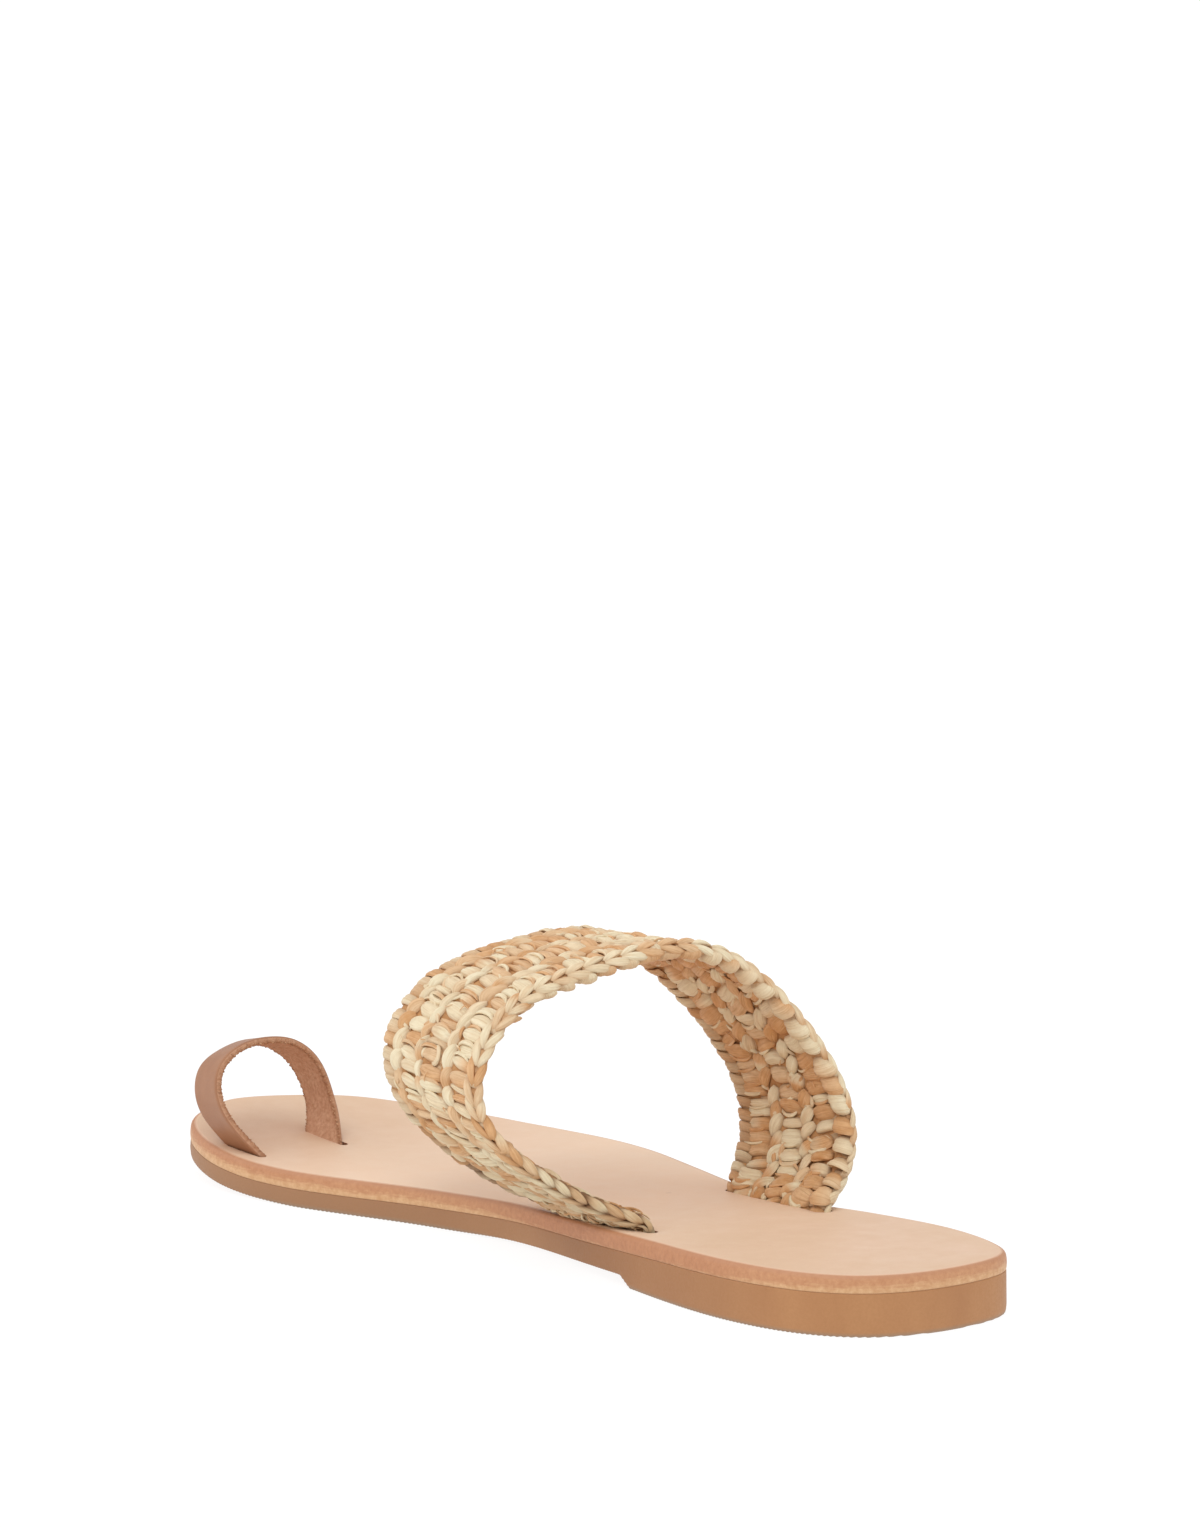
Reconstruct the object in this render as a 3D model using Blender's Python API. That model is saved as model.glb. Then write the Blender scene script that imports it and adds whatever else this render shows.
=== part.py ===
"""A right toe loop sandal: a leather footbed on a moulded sole, a crocheted band and a toe loop.

Sizes are in millimetres, measured as a shoemaker would: along from the back of the heel, across from
the heel's axis with the lateral side positive, and up from the floor.
"""

import math

import bmesh
import bpy
import numpy as np
from mathutils import Vector

MM = 0.001
NAME = "toe_loop_sandal"

# Driving dimensions
SOLE_LENGTH = 250.0
SOLE_MIDDLE_ACROSS = 0.39
BED_THICKNESS = 4.0
NEIGHBOUR_GAP = 0.3
HEEL_BREAST = 76.5
BREAST_RUN = 5.5
HEEL_STEP = 1.6
SOLE_STATIONS = 46
SHARP_ANGLE = 40.0

# Plan of the sole: how far the two edges lie from the heel's axis
OUTLINE = [
    # along, medial, lateral
    (0.0, 0.0, 0.0),
    (3.8, -16.6, 18.8),
    (12.5, -25.6, 26.2),
    (25.0, -30.6, 29.6),
    (40.0, -32.6, 30.7),
    (70.0, -30.4, 28.2),
    (100.0, -25.6, 29.6),
    (130.0, -22.1, 37.2),
    (160.0, -26.8, 45.2),
    (175.0, -31.9, 46.6),
    (190.0, -36.9, 45.4),
    (205.0, -40.1, 41.5),
    (220.0, -40.2, 34.6),
    (232.5, -36.9, 25.0),
    (242.5, -30.1, 13.2),
    (247.5, -21.6, 0.6),
    (250.0, -12.8, -12.8),
]

# Side view of the sole in front of the heel's breast, and of the footbed's top all along
UNDERSIDE = [
    # along, ground clearance
    (HEEL_BREAST + BREAST_RUN, HEEL_STEP),
    (105.0, 1.5),
    (130.0, 0.8),
    (152.0, 0.0),
    (190.0, 0.0),
    (203.0, 0.4),
    (215.0, 1.2),
    (230.0, 3.0),
    (242.0, 4.9),
    (250.0, 6.2),
]
BED_TOP = [
    # along, height
    (0.0, 13.9),
    (30.0, 13.6),
    (60.0, 12.9),
    (78.0, 12.0),
    (105.0, 10.5),
    (130.0, 9.5),
    (152.0, 8.7),
    (190.0, 8.3),
    (203.0, 8.6),
    (215.0, 9.4),
    (230.0, 11.0),
    (242.0, 12.8),
    (250.0, 14.0),
]

# Side walls from bottom to top: how far the wall stands in, and how far it lies from an end of its height
OUTSOLE_WALL = [
    # inset, above the bottom, below the top
    (0.5, 0.0, None),
    (0.0, 0.5, None),
    (0.0, None, 0.5),
    (0.4, None, 0.0),
]
FOOTBED_WALL = [
    # inset, above the bottom, below the top
    (0.4, 0.0, None),
    (0.0, 0.5, None),
    (0.0, None, 1.2),
    (0.35, None, 0.4),
    (1.2, None, 0.0),
]

# Crocheted band, which enters one slit at each side and arches over the instep
BAND_WIDTH = 43.2
BAND_SEAT_DEPTH = 3.5
BAND_SEAT_HALF = 1.5
BAND_RIM = 5.4
STITCH_ROWS = 3
STITCH_PITCH = 4.5
SEAT_FADE = 11.0
STITCH_RISE = 0.45
BAND_PATH = [
    # heel-side rim across, along, up, toe-side rim across, along, up
    (-21.7, 77.8, None, -18.3, 116.6, None),
    (-24.8, 82.2, 15.4, -21.3, 121.0, 13.5),
    (-37.6, 98.7, 23.8, -33.5, 137.4, 23.1),
    (-43.6, 113.4, 38.4, -39.2, 152.0, 39.0),
    (-32.3, 117.5, 55.2, -28.7, 156.3, 54.9),
    (-8.7, 113.8, 65.0, -5.4, 152.7, 64.0),
    (16.4, 107.2, 67.1, 19.2, 145.9, 63.9),
    (34.2, 96.6, 51.6, 36.0, 135.3, 47.1),
    (38.9, 83.0, 30.4, 39.9, 122.2, 28.0),
    (27.4, 73.6, 16.4, 30.5, 112.3, 14.0),
    (22.6, 71.2, None, 26.8, 109.9, None),
]

# Wall of the band across one crochet row, and across the plaited rim on either side
ROW_SECTION = [
    # share of the row, half thickness, stitch rise, beat
    (0.0, 1.25, 0.0, 0),
    (0.16, 1.75, STITCH_RISE, 0),
    (0.46, 1.75, STITCH_RISE, 0),
    (0.62, 1.25, 0.0, 0),
    (0.81, 1.6, STITCH_RISE, 1),
]
RIM_SECTION = [
    # share of the rim, half thickness, stitch rise, beat
    (0.30, 1.55, STITCH_RISE, 1),
    (0.70, 1.8, STITCH_RISE, 0),
]

# Leather toe loop, which enters one slit at each side of the big toe
LOOP_WIDTH = 12.6
LOOP_HALF = 0.8
LOOP_SEAT_DEPTH = 3.3
LOOP_STEP = 2.4
LOOP_PATH = [
    # heel-side edge across, along, up, toe-side edge across, along, up
    (-33.5, 211.9, None, -32.8, 224.3, None),
    (-37.4, 215.4, 14.8, -36.8, 228.3, 15.6),
    (-39.4, 218.1, 21.2, -37.3, 231.1, 21.0),
    (-38.1, 219.7, 28.2, -35.1, 232.6, 26.0),
    (-31.9, 220.6, 32.5, -29.9, 233.2, 28.9),
    (-23.0, 220.9, 33.5, -22.0, 233.6, 30.6),
    (-16.0, 220.5, 32.0, -16.1, 233.2, 29.8),
    (-10.6, 219.3, 27.1, -10.9, 231.8, 26.4),
    (-8.1, 217.3, 19.2, -7.5, 229.9, 20.0),
    (-8.1, 215.1, 14.4, -7.5, 227.5, 15.4),
    (-9.5, 211.9, None, -9.7, 224.3, None),
]
LOOP_SECTION = [
    # share of the half width, share of the half thickness
    (-0.96, 0.75),
    (-0.86, 1.0),
    (0.0, 1.0),
    (0.86, 1.0),
    (0.96, 0.75),
]

# Slits in the footbed, and how far a strap rises straight out of its slit
SLIT_LIP = 1.0
SLIT_GAP = 0.35
CUTTER_REACH = 12.0

# Colours as linear light, then roughness
FINISHES = {
    "outsole": ((0.45, 0.25, 0.12), 0.6),
    "footbed": ((0.77, 0.55, 0.39), 0.55),
    "instep_band": ((0.76, 0.55, 0.30), 0.7),
    "toe_loop": ((0.45, 0.22, 0.14), 0.5),
}


def place(across, along, up):
    """A shoemaker's measure as a point in metres, from the middle of the sole on the floor."""
    return Vector((across - SOLE_MIDDLE_ACROSS, along - SOLE_LENGTH / 2.0, up)) * MM


def spline(at, values):
    """A natural cubic through the rows of a table, which may hold several columns."""
    at = np.array(at, float)
    values = np.array(values, float)
    step = np.diff(at)
    count = len(at)
    system = np.eye(count)
    rise = np.zeros_like(values)
    for i in range(1, count - 1):
        system[i, i - 1:i + 2] = (step[i - 1], 2.0 * (step[i - 1] + step[i]), step[i])
        rise[i] = 6.0 * ((values[i + 1] - values[i]) / step[i] - (values[i] - values[i - 1]) / step[i - 1])
    bend = np.linalg.solve(system, rise)

    def read(where):
        i = int(np.clip(np.searchsorted(at, where) - 1, 0, count - 2))
        a = (at[i + 1] - where) / step[i]
        b = (where - at[i]) / step[i]
        curve = (a ** 3 - a) * bend[i] + (b ** 3 - b) * bend[i + 1]
        return a * values[i] + b * values[i + 1] + curve * step[i] ** 2 / 6.0

    return read


def level_curve(rows):
    """A cubic through the rows that keeps level stretches level."""
    at, values = np.array(rows, float).T
    step = np.diff(at)
    slope = np.diff(values) / step
    lean = np.zeros(len(at))
    lean[0] = slope[0]
    lean[-1] = slope[-1]
    for i in range(1, len(at) - 1):
        if slope[i - 1] * slope[i] > 0.0:
            lean[i] = 2.0 / (1.0 / slope[i - 1] + 1.0 / slope[i])

    def read(where):
        i = int(np.clip(np.searchsorted(at, where) - 1, 0, len(at) - 2))
        s = (where - at[i]) / step[i]
        rise = values[i + 1] - values[i]
        turn = lean[i] * step[i] * (1.0 - s) - lean[i + 1] * step[i] * s
        return values[i] + rise * s * s * (3.0 - 2.0 * s) + turn * s * (1.0 - s)

    return read


def swing(along):
    """Share of a half turn from heel to toe, which makes both ends of the outline round."""
    return math.acos(1.0 - 2.0 * along / SOLE_LENGTH) / math.pi


edges = spline([swing(row[0]) for row in OUTLINE], [row[1:] for row in OUTLINE])
bed_top = level_curve(BED_TOP)
underside_ahead = level_curve(UNDERSIDE)


def underside(along):
    """Height of the sole's underside: the flat heel, its sloping breast, then the waist and forefoot."""
    if along <= HEEL_BREAST:
        return 0.0
    if along < HEEL_BREAST + BREAST_RUN:
        return HEEL_STEP * (along - HEEL_BREAST) / BREAST_RUN
    return underside_ahead(along)


def bed_underside(along):
    return bed_top(along) - BED_THICKNESS


def outsole_top(along):
    return bed_underside(along) - NEIGHBOUR_GAP


def sole_stations():
    """Places along the sole, close together at both ends, with the heel's breast among them."""
    turns = np.linspace(0.0, math.pi, SOLE_STATIONS + 1)
    stations = [SOLE_LENGTH * (1.0 - math.cos(turn)) / 2.0 for turn in turns]
    for corner in (HEEL_BREAST, HEEL_BREAST + BREAST_RUN):
        nearest = min(range(len(stations)), key=lambda i: abs(stations[i] - corner))
        stations[nearest] = corner
    return stations


def plan_ring():
    """The outline as one closed ring: up the medial side to the toe, and back down the lateral side."""
    stations = sole_stations()
    medial = [(edges(swing(y))[0], y) for y in stations]
    lateral = [(edges(swing(y))[1], y) for y in stations[1:-1]]
    return np.array(medial + lateral[::-1])


def slab_rings(wall, bottom, top):
    """Rings of a sole layer from bottom to top, following its wall's section."""
    ring = plan_ring()
    along_edge = np.roll(ring, -1, axis=0) - np.roll(ring, 1, axis=0)
    inward = np.stack([along_edge[:, 1], -along_edge[:, 0]], axis=1)
    inward /= np.linalg.norm(inward, axis=1, keepdims=True)
    rings = []
    for inset, above, below in wall:
        points = ring + inward * inset
        heights = [bottom(y) + above if below is None else top(y) - below for y in points[:, 1]]
        rings.append([place(x, y, z) for (x, y), z in zip(points, heights)])
    return rings


def loft(name, rings):
    """A closed solid through rings of equal count; both ends are closed by strips across the ring."""
    mesh = bpy.data.meshes.new(name)
    bm = bmesh.new()
    count = len(rings[0])
    verts = [[bm.verts.new(point) for point in ring] for ring in rings]
    for lower, upper in zip(verts, verts[1:]):
        for i in range(count):
            bm.faces.new((lower[i], lower[(i + 1) % count], upper[(i + 1) % count], upper[i]))
    for ring in (verts[0], verts[-1]):
        for i in range(count // 2):
            corners = [ring[i], ring[i + 1], ring[count - i - 1], ring[(count - i) % count]]
            bm.faces.new(list(dict.fromkeys(corners)))
    bmesh.ops.recalc_face_normals(bm, faces=bm.faces)
    bm.to_mesh(mesh)
    bm.free()
    mesh.shade_smooth()
    mesh.set_sharp_from_angle(angle=math.radians(SHARP_ANGLE))
    piece = bpy.data.objects.new(name, mesh)
    colour, roughness = FINISHES[name]
    material = bpy.data.materials.new(name)
    material.use_nodes = True
    shader = material.node_tree.nodes["Principled BSDF"]
    shader.inputs["Base Color"].default_value = (*colour, 1.0)
    shader.inputs["Roughness"].default_value = roughness
    shader.inputs["Metallic"].default_value = 0.0
    mesh.materials.append(material)
    parts.objects.link(piece)
    return piece


def strap_path(rows, depth):
    """Rows of edge points with both ends carried down into their slits, and a spline through them all."""
    def seat(row, lift):
        rear_across, rear_along, _, front_across, front_along, _ = row
        rear_up = bed_top(rear_along) + lift
        front_up = bed_top(front_along) + lift
        return rear_across, rear_along, rear_up, front_across, front_along, front_up

    lead = [seat(rows[0], -depth), seat(rows[0], SLIT_LIP)]
    tail = [seat(rows[-1], SLIT_LIP), seat(rows[-1], -depth)]
    knots = np.array(lead + rows[1:-1] + tail)
    middles = knots.reshape(-1, 2, 3).mean(axis=1)
    run = np.cumsum(np.linalg.norm(np.diff(middles, axis=0), axis=1))
    run = np.concatenate([[0.0], run])
    return spline(run, knots), run[-1]


def strap(name, rows, width, depth, pitch, section):
    """A strap lofted along its path. The section gives each line across it and its half thickness there."""
    path, length = strap_path(rows, depth)
    steps = round(length / pitch)
    places = [length * step / steps for step in range(steps + 1)]
    rims = np.array([path(where) for where in places]).reshape(-1, 2, 3)
    middles = rims.mean(axis=1)
    headings = np.gradient(middles, axis=0)
    rings = []
    for step, where in enumerate(places):
        sideways = rims[step, 1] - rims[step, 0]
        sideways /= np.linalg.norm(sideways)
        normal = np.cross(sideways, headings[step])
        normal /= np.linalg.norm(normal)
        lines = section(step, min(where, length - where))
        outer = [middles[step] + sideways * across + normal * half for across, half in lines]
        inner = [middles[step] + sideways * across - normal * half for across, half in lines]
        edge = sideways * width / 2.0
        ring = [middles[step] - edge] + outer + [middles[step] + edge] + inner[::-1]
        rings.append([place(*point) for point in ring])
    return loft(name, rings)


def band_rows():
    """Lines along the band from its heel-side rim to its toe-side rim: place, thickness, rise and beat."""
    half = BAND_WIDTH / 2.0
    row_pitch = (BAND_WIDTH - 2.0 * BAND_RIM) / STITCH_ROWS
    lines = [(-half + share * BAND_RIM, *rest) for share, *rest in RIM_SECTION]
    for row in range(STITCH_ROWS):
        start = -half + BAND_RIM + row * row_pitch
        lines += [(start + share * row_pitch, *rest) for share, *rest in ROW_SECTION]
    lines.append((half - BAND_RIM, *ROW_SECTION[0][1:]))
    lines += [(half - share * BAND_RIM, *rest) for share, *rest in reversed(RIM_SECTION)]
    return lines


def band_section(step, from_end):
    """The band's wall at one step: stitches stand up on every other step, and lie flat inside the slits."""
    free = (from_end - BAND_SEAT_DEPTH - SLIT_LIP) / SEAT_FADE
    free = min(max(free, 0.0), 1.0)
    lines = []
    for across, thick, rise, beat in band_rows():
        full = thick + rise * ((step + beat) % 2)
        lines.append((across, min(full, BAND_SEAT_HALF) * (1.0 - free) + full * free))
    return lines


def loop_section(step, from_end):
    """The toe loop's wall, which is the same all along."""
    return [(wide * LOOP_WIDTH / 2.0, thick * LOOP_HALF) for wide, thick in LOOP_SECTION]


def build_outsole():
    """The moulded sole: flat heel, breast, waist, flat forefoot and toe spring in one body."""
    return loft("outsole", slab_rings(OUTSOLE_WALL, underside, outsole_top))


def build_footbed():
    """The leather footbed, which follows the sole's outline and the top of its side view."""
    return loft("footbed", slab_rings(FOOTBED_WALL, bed_underside, bed_top))


def build_band():
    """The instep band: one wall whose rows of stitches stand up on both faces."""
    return strap("instep_band", BAND_PATH, BAND_WIDTH, BAND_SEAT_DEPTH, STITCH_PITCH / 2.0, band_section)


def build_loop():
    """The toe loop: a strip of leather bowed over the toe and leaning forward."""
    return strap("toe_loop", LOOP_PATH, LOOP_WIDTH, LOOP_SEAT_DEPTH, LOOP_STEP, loop_section)


def cut_slit(bed, name, start, end, length, thickness):
    """One slit through the footbed, centred between two points of a strap's seat."""
    middle = (start + end) / 2.0
    bpy.ops.mesh.primitive_cube_add(size=1.0, location=place(*middle, BED_TOP[0][1] / 2.0))
    cutter = bpy.context.object
    cutter.name = name
    turn = math.atan2(start[0] - end[0], end[1] - start[1])
    cutter.rotation_euler = (0.0, 0.0, turn)
    wide = thickness + 2.0 * SLIT_GAP
    long = length + 2.0 * SLIT_GAP
    cutter.scale = (wide * MM, long * MM, 2.0 * CUTTER_REACH * MM)
    cutter.hide_render = True
    cutter.display_type = "WIRE"
    for home in list(cutter.users_collection):
        home.objects.unlink(cutter)
    cutters.objects.link(cutter)
    cut = bed.modifiers.new(name, "BOOLEAN")
    cut.operation = "DIFFERENCE"
    cut.solver = "EXACT"
    cut.object = cutter


def cut_slits(bed):
    """Four slits: one at each end of the band and of the toe loop."""
    straps = [
        # name, path, width, half thickness
        ("band", BAND_PATH, BAND_WIDTH, BAND_SEAT_HALF),
        ("loop", LOOP_PATH, LOOP_WIDTH, LOOP_HALF),
    ]
    for name, path, width, half in straps:
        for side, row in (("medial", path[0]), ("lateral", path[-1])):
            start = np.array(row[0:2])
            end = np.array(row[3:5])
            cut_slit(bed, f"{name}_slit_{side}", start, end, width, 2.0 * half)


for old in list(bpy.data.objects):
    bpy.data.objects.remove(old, do_unlink=True)
parts = bpy.data.collections.new(NAME)
cutters = bpy.data.collections.new("cutters")
bpy.context.scene.collection.children.link(parts)
bpy.context.scene.collection.children.link(cutters)

build_outsole()
footbed = build_footbed()
cut_slits(footbed)
build_band()
build_loop()
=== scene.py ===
# %% [markdown]
# # Dressing a toe loop sandal
# The solids of this right-foot sandal already have their true sizes: a moulded sole, a leather footbed, a
# crocheted band over the instep and a leather loop for the big toe. This lesson adds what the eye sees on
# them, which is stitches, fibres, grain, burnished edges and fine tread. The solids stay where they are, and
# every new piece is worked out in the same frame, so nothing has to be fitted afterwards.

# %% Load the solids
import math
from collections import namedtuple

import bpy
import numpy as np
from mathutils import Matrix, Vector


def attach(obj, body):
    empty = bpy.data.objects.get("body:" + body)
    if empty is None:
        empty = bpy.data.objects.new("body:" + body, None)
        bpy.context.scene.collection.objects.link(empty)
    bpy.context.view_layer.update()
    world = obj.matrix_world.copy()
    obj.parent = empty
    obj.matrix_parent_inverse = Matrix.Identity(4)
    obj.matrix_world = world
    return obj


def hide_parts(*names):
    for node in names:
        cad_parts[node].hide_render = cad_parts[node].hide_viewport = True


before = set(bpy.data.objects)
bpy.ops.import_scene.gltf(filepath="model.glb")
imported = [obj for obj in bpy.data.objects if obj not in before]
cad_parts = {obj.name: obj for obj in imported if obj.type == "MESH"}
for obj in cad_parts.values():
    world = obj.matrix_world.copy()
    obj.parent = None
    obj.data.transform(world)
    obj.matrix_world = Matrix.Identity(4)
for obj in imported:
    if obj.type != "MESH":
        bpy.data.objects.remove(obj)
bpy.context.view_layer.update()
print("solids:", ", ".join(sorted(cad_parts)))

# %% [markdown]
# ## Measures
# A shoemaker measures along from the back of the heel, across from the heel's axis with the lateral side
# positive, and up from the floor, all in millimetres. The frame is in metres from the middle of the sole.
# One function turns the first into the second, so the tables below can stay in round numbers.

# %% Shoemaker's measures
MM = 0.001
SOLE_LENGTH = 250.0
SOLE_MIDDLE_ACROSS = 0.39
ORIGIN = np.array([SOLE_MIDDLE_ACROSS, SOLE_LENGTH / 2.0, 0.0])


def place(points):
    """Shoemaker's measures in millimetres as points of the frame in metres."""
    return (np.asarray(points, float) - ORIGIN) * MM


def unit(vectors):
    """Vectors brought to length one."""
    return vectors / np.linalg.norm(vectors, axis=-1, keepdims=True)


print("the toe's end lies at", place((0.0, SOLE_LENGTH, 0.0)))

# %% [markdown]
# ## Curves through short tables
# The outline of a sole or the run of a strap is a few measured places with a smooth curve through them. A
# natural cubic suits what bends freely, such as a strap. A cubic that keeps level stretches level suits the
# side view of a sole, where the heel and the forefoot have to stay flat.

# %% Two kinds of curve


def spline(at, values):
    """A natural cubic through the rows of a table, read at many places at once."""
    at = np.array(at, float)
    values = np.array(values, float)
    step = np.diff(at)
    count = len(at)
    system = np.eye(count)
    rise = np.zeros_like(values)
    for i in range(1, count - 1):
        system[i, i - 1:i + 2] = (step[i - 1], 2.0 * (step[i - 1] + step[i]), step[i])
        rise[i] = 6.0 * ((values[i + 1] - values[i]) / step[i] - (values[i] - values[i - 1]) / step[i - 1])
    bend = np.linalg.solve(system, rise)

    def read(where):
        where = np.asarray(where, float)
        i = np.clip(np.searchsorted(at, where) - 1, 0, count - 2)
        a = ((at[i + 1] - where) / step[i])[..., None]
        b = 1.0 - a
        curve = (a ** 3 - a) * bend[i] + (b ** 3 - b) * bend[i + 1]
        return a * values[i] + b * values[i + 1] + curve * step[i][..., None] ** 2 / 6.0

    return read


def level_curve(rows):
    """A cubic through the rows that keeps level stretches level."""
    at, values = np.array(rows, float).T
    step = np.diff(at)
    slope = np.diff(values) / step
    lean = np.zeros(len(at))
    lean[0] = slope[0]
    lean[-1] = slope[-1]
    for i in range(1, len(at) - 1):
        if slope[i - 1] * slope[i] > 0.0:
            lean[i] = 2.0 / (1.0 / slope[i - 1] + 1.0 / slope[i])

    def read(where):
        where = np.asarray(where, float)
        i = np.clip(np.searchsorted(at, where) - 1, 0, len(at) - 2)
        s = (where - at[i]) / step[i]
        rise = values[i + 1] - values[i]
        turn = lean[i] * step[i] * (1.0 - s) - lean[i + 1] * step[i] * s
        return values[i] + rise * s * s * (3.0 - 2.0 * s) + turn * s * (1.0 - s)

    return read


def smooth_step(value):
    """From 0 to 1 with soft ends."""
    value = np.clip(value, 0.0, 1.0)
    return value * value * (3.0 - 2.0 * value)


def bell(value, middle, reach):
    """1 at a middle value and less on both sides of it, down to about a third at its reach."""
    return np.exp(-((value - middle) / reach) ** 2)


print("a level curve stays level:", level_curve([(0, 1), (1, 2), (2, 2), (3, 4)])([1.2, 1.5, 1.8]))

# %% [markdown]
# ## Camera
# The photograph was taken with a long lens from behind the medial side, a little above the straps, and the
# sandal sits low in a tall frame. A long lens is a far camera: the distance sets the perspective, and the
# lens then sets the size in the frame. The camera aims above the sandal instead of using lens shift, so that
# other views can swing it round freely.

# %% Camera at the photograph's angle
FRAME_HEIGHT = 1528
LENS_PIXELS = 10089.8
SENSOR_SIDE = 36.0
CAMERA_AZIMUTH = -37.74
CAMERA_ELEVATION = 11.75
CAMERA_ROLL = 0.28
CAMERA_DISTANCE = 2311.4
TARGET_UP = 10.0
AIM_ABOVE_TARGET = 99.52
AIM_TO_RIGHT = -0.126
FARTHEST_SEEN = 100.0


def toward(azimuth, elevation):
    """The way to a camera or lamp, in degrees round from behind the heel and above the floor."""
    a, e = math.radians(azimuth), math.radians(elevation)
    return Vector((math.sin(a) * math.cos(e), -math.cos(a) * math.cos(e), math.sin(e)))


def aimed(location, at, roll=0.0):
    """A matrix that stands at a place and looks at a point."""
    turn = (Vector(at) - Vector(location)).to_track_quat("-Z", "Y").to_matrix().to_4x4()
    return Matrix.Translation(location) @ turn @ Matrix.Rotation(roll, 4, "Z")


target = Vector(place((0.0, SOLE_LENGTH / 2.0, TARGET_UP)))
eye = target + toward(CAMERA_AZIMUTH, CAMERA_ELEVATION) * CAMERA_DISTANCE * MM
rightward = toward(CAMERA_AZIMUTH + 90.0, 0.0)
aim = target + rightward * AIM_TO_RIGHT * MM + Vector((0.0, 0.0, AIM_ABOVE_TARGET * MM))
camera_data = bpy.data.cameras.new("photo_camera")
camera_data.sensor_width = SENSOR_SIDE
camera_data.lens = SENSOR_SIDE * LENS_PIXELS / FRAME_HEIGHT
camera_data.clip_end = FARTHEST_SEEN
camera = bpy.data.objects.new("photo_camera", camera_data)
camera.matrix_world = aimed(eye, aim, math.radians(CAMERA_ROLL))
bpy.context.scene.collection.objects.link(camera)
bpy.context.scene.camera = camera
print("camera lens", round(camera_data.lens, 1), "mm at", round(CAMERA_DISTANCE), "mm")

# %% [markdown]
# ## Building meshes from arrays
# A crocheted band has hundreds of stitches, so they are made as arrays and joined in one mesh, which is far
# quicker than an object for each. A tube is a row of rings with quads between them, and its two ends are
# closed by quads across the ring, so that every strand is a closed body.

# %% Mesh helpers


def tube_faces(tubes, rings, around):
    """Quads of many tubes that have the same count of rings and of points around each ring."""
    ids = np.arange(tubes * rings * around).reshape(tubes, rings, around)
    turned = np.roll(ids, -1, axis=2)
    walls = np.stack([ids[:, :-1], turned[:, :-1], turned[:, 1:], ids[:, 1:]], axis=-1)
    i = np.arange(around // 2 - 1)
    near, far = [
        np.stack([ring[:, i], ring[:, i + 1], ring[:, around - 2 - i], ring[:, around - 1 - i]], axis=-1)
        for ring in (ids[:, 0], ids[:, -1])
    ]
    return np.concatenate([walls.reshape(-1, 4), near.reshape(-1, 4)[:, ::-1], far.reshape(-1, 4)])


def mesh_piece(name, points, faces, materials, picks=None, sharp=None):
    """An object from points in metres and quads, where a quad that names a corner twice is a triangle."""
    mesh = bpy.data.meshes.new(name)
    mesh.from_pydata(points.tolist(), [], [list(dict.fromkeys(face)) for face in faces.tolist()])
    for material in materials:
        mesh.materials.append(material)
    if picks is not None:
        mesh.polygons.foreach_set("material_index", np.asarray(picks, np.int32))
    mesh.shade_smooth()
    if sharp is not None:
        mesh.set_sharp_from_angle(angle=math.radians(sharp))
    piece = bpy.data.objects.new(name, mesh)
    bpy.context.scene.collection.objects.link(piece)
    return piece


def point_values(piece, name, values):
    """Values on the points of a mesh that its material can read: one number or three for each point."""
    values = np.asarray(values, np.float32)
    kind, field = ("FLOAT", "value") if values.ndim == 1 else ("FLOAT_VECTOR", "vector")
    piece.data.attributes.new(name, kind, "POINT").data.foreach_set(field, values.ravel())


def dress(piece, node):
    """The piece rides on the part and stands for a solid, which is hidden."""
    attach(piece, "root")
    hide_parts(node)
    piece.data.calc_loop_triangles()
    print(piece.name, "stands for", node, "with", len(piece.data.loop_triangles), "triangles")


print("quads of a closed tube of 3 rings with 8 points each:", len(tube_faces(1, 3, 8)))

# %% [markdown]
# ## Building materials from nodes
# Materials here are built from noise, ramps and mixes. A few short helpers keep that readable. Colours are
# written as a paint maker would, from 0 to 255, and turned into linear light. Effects that several materials
# share are node groups: leather grain, the slow mottling of a natural hide, and the streaks of drawn fibres.

# %% Colours and sums


def paint(red, green, blue):
    """A colour on the usual 0 to 255 scale as linear light."""
    shares = np.array([red, green, blue]) / 255.0
    linear = np.where(shares <= 0.04045, shares / 12.92, ((shares + 0.055) / 1.055) ** 2.4)
    return (*linear.tolist(), 1.0)


def add(tree, kind, inputs=None, **settings):
    """One shader node: settings are its own options, and inputs are values or sockets to link."""
    node = tree.nodes.new(kind)
    for key, value in settings.items():
        setattr(node, key, value)
    for key, value in (inputs or {}).items():
        if isinstance(value, bpy.types.NodeSocket):
            tree.links.new(value, node.inputs[key])
        else:
            node.inputs[key].default_value = value
    return node


def noise(tree, where, scale, detail=2.0, rough=0.5):
    """Cloudy chance from 0 to 1 at places on the piece."""
    inputs = {"Vector": where, "Scale": scale, "Detail": detail, "Roughness": rough}
    return add(tree, "ShaderNodeTexNoise", inputs).outputs["Fac"]


def work_out(tree, operation, a, b):
    """One sum with two values."""
    return add(tree, "ShaderNodeMath", {0: a, 1: b}, operation=operation).outputs[0]


def times(tree, a, b):
    """Two values multiplied."""
    return work_out(tree, "MULTIPLY", a, b)


def spread(tree, value, low, high, to_low=0.0, to_high=1.0):
    """A value's range stretched to another range and held there."""
    inputs = {"Value": value, "From Min": low, "From Max": high, "To Min": to_low, "To Max": to_high}
    return add(tree, "ShaderNodeMapRange", inputs).outputs[0]


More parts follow.
